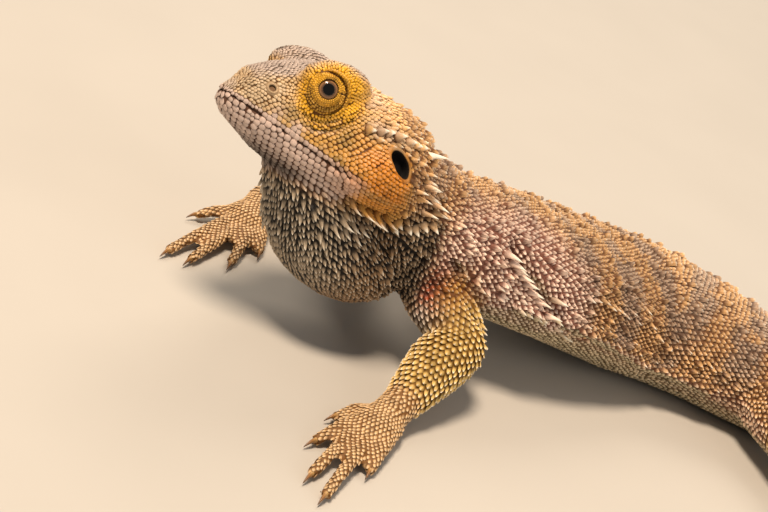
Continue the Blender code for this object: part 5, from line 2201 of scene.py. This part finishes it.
# ---- Claws ----
@dataclass
class Claws:
    """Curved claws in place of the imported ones, rooted in the ends of the digits."""

    skin: Skin
    ring_count: int = 12
    points_round: int = 14
    root_back: float = 1.5 * MM
    arch: float = 0.55 * MM
    taper: float = 0.72
    slim: float = 0.80
    flat: float = 0.78

    def build(self, finish: Material) -> None:
        """Makes every claw.

        Args:
            finish: the horn.
        """
        for paw in PAWS:
            wrist = self.skin.skeleton.bones[paw][0]
            for name in claw_names(paw):
                self.claw(name, wrist, finish)

    def claw(self, name: str, wrist: Array, finish: Material) -> None:
        """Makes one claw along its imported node.

        Args:
            name: that node.
            wrist: where the hand or foot starts.
            finish: the horn.
        """
        points = node_points(name)
        away = (points - wrist) @ unit(np.mean(points, axis=0) - wrist)
        base = away < away.min() + 0.4 * MM
        root, tip = points[base].mean(axis=0), points[away.argmax()]
        along = unit((tip - root) * np.array((1, 1, 0)))
        side = np.cross(along, (0, 0, 1))
        thick = 0.5 * np.ptp(points[base] @ side) * self.slim
        start, end = root - along * self.root_back, tip
        rings, rise = [], []
        turns = np.linspace(0.0, math.tau, self.points_round, endpoint=False)
        for share in np.linspace(0.0, 1.0, self.ring_count):
            middle = start * (1 - share) + end * share
            middle = middle + np.array((0, 0, 1)) * (self.arch * math.sin(math.pi * share**0.9) - 0.1 * MM)
            radius = thick * (1.0 - share) ** self.taper + 0.06 * MM
            middle[2] = max(middle[2], radius + 0.04 * MM)
            wide, tall = side * radius * self.flat, np.array((0, 0, radius))
            rings.append([middle + wide * math.cos(turn) + tall * math.sin(turn) for turn in turns])
            rise += [share] * self.points_round
        points = np.array(rings).reshape(-1, 3)
        shape = Shape(points, tube(self.ring_count, self.points_round)[:, ::-1], {"rise": np.array(rise)})
        thing = shape.piece(name.replace("claw_", "horn_"), finish, Slot.CLAW)
        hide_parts(name)


# ---- Studio ----
@dataclass
class Lamp:
    """A soft box, by its place from the target and its power."""

    name: str
    place: Triple
    size: float
    power: float
    colour: str
    glints: bool = True


@dataclass
class Studio:
    """The floor, lights and camera."""

    head: HeadFrame
    azimuth: float = 60.0
    elevation: float = 24.0
    roll: float = 25.0
    distance: float = 0.600
    lens: float = 100.0
    aim: Triple = (-43.44 * MM, 83.55 * MM, -56.6 * MM)
    floor_half: float = 4.0
    surround: tuple[float, float, float, float] = (0.86, 0.84, 0.80, 1.0)
    surround_strength: float = 0.30
    lamps: tuple[Lamp, ...] = (
        Lamp("key", (0.20, -0.45, 1.30), 0.36, 24.0, "#ffe9cf"),
        Lamp("fill", (1.15, 0.62, 0.50), 1.20, 6.5, "#fff6ea", False),
        Lamp("rim", (-0.75, 0.45, 0.85), 0.60, 7.0, "#fff0dc"),
    )

    def target(self) -> Array:
        """The point on the floor that the camera looks at."""
        return self.head.origin() + np.array(self.aim)

    def floor(self) -> None:
        """A wide pale floor."""
        form = bmesh.new()
        bmesh.ops.create_grid(form, x_segments=2, y_segments=2, size=self.floor_half)
        mesh = bpy.data.meshes.new("floor")
        form.to_mesh(mesh)
        form.free()
        mesh.materials.append(FloorFinish().make())
        thing = placed("floor", mesh)

    def light(self) -> None:
        """Soft boxes and an even grey surround."""
        target = Vector(self.target())
        for lamp in self.lamps:
            data = bpy.data.lights.new(lamp.name, "AREA")
            data.shape, data.size, data.energy = "DISK", lamp.size, lamp.power
            data.color = linear(lamp.colour)[:3]
            thing = placed(lamp.name, data)
            thing.visible_glossy = lamp.glints
            thing.location = target + Vector(lamp.place)
            thing.rotation_euler = (target - thing.location).to_track_quat("-Z", "Y").to_euler()
        world = bpy.data.worlds.new("surround")
        world.use_nodes = True
        sky = world.node_tree.nodes["Background"]
        sky.inputs["Color"].default_value = self.surround
        sky.inputs["Strength"].default_value = self.surround_strength
        bpy.context.scene.world = world
        bpy.context.scene.view_settings.view_transform = "Standard"

    def camera(self) -> None:
        """The camera, leaning as it was held."""
        turn, rise, lean = (math.radians(angle) for angle in (self.azimuth, self.elevation, self.roll))
        back = Vector((math.sin(turn) * math.cos(rise), -math.cos(turn) * math.cos(rise), math.sin(rise)))
        right = Vector((math.cos(turn), math.sin(turn), 0.0))
        up = back.cross(right)
        leaning_right = right * math.cos(lean) + up * math.sin(lean)
        leaning_up = up * math.cos(lean) - right * math.sin(lean)
        data = bpy.data.cameras.new("camera")
        data.lens, data.sensor_width, data.clip_start = self.lens, 36.0, 0.01
        thing = placed("camera", data)
        place = Vector(self.target()) + back * self.distance
        thing.matrix_world = Matrix((*zip(leaning_right, leaning_up, back, place), (0.0, 0.0, 0.0, 1.0)))
        bpy.context.scene.camera = thing

    def build(self) -> None:
        """Sets everything up."""
        self.floor()
        self.light()
        self.camera()


def main() -> None:
    """Builds the animal and its studio."""
    logging.basicConfig(level=logging.INFO, format="%(name)s %(message)s", stream=sys.stdout)
    skeleton = Skeleton()
    skeleton.build()
    Studio(skeleton.head).build()
    skin = Skin(skeleton)
    skin.build()
    masks = Markings(skin).masks()
    scaly = ScalyFinish().make()
    skin.piece(scaly, masks)
    lie = Lie(skin)
    lie.build()
    Coat(skin, lie, masks).build(scaly)
    Spines(skin, masks).build(scaly)
    eye_finish = EyeFinish().make()
    for side in Side:
        Lids(skin, side).build(scaly)
        Eyeball(skin, side).build(eye_finish)
        Rim(skin, masks, side, "nostril", NOSTRIL, 2.5, 0.50 * MM, 1.42, 0.5, 0.40, 0.8).build(scaly)
        Rim(skin, masks, side, "ear", EAR, 1.62, 0.28 * MM, 1.18, 0.14, 0.12).build(scaly)
    Claws(skin).build(ClawFinish().make())


if __name__ == "__main__":
    main()
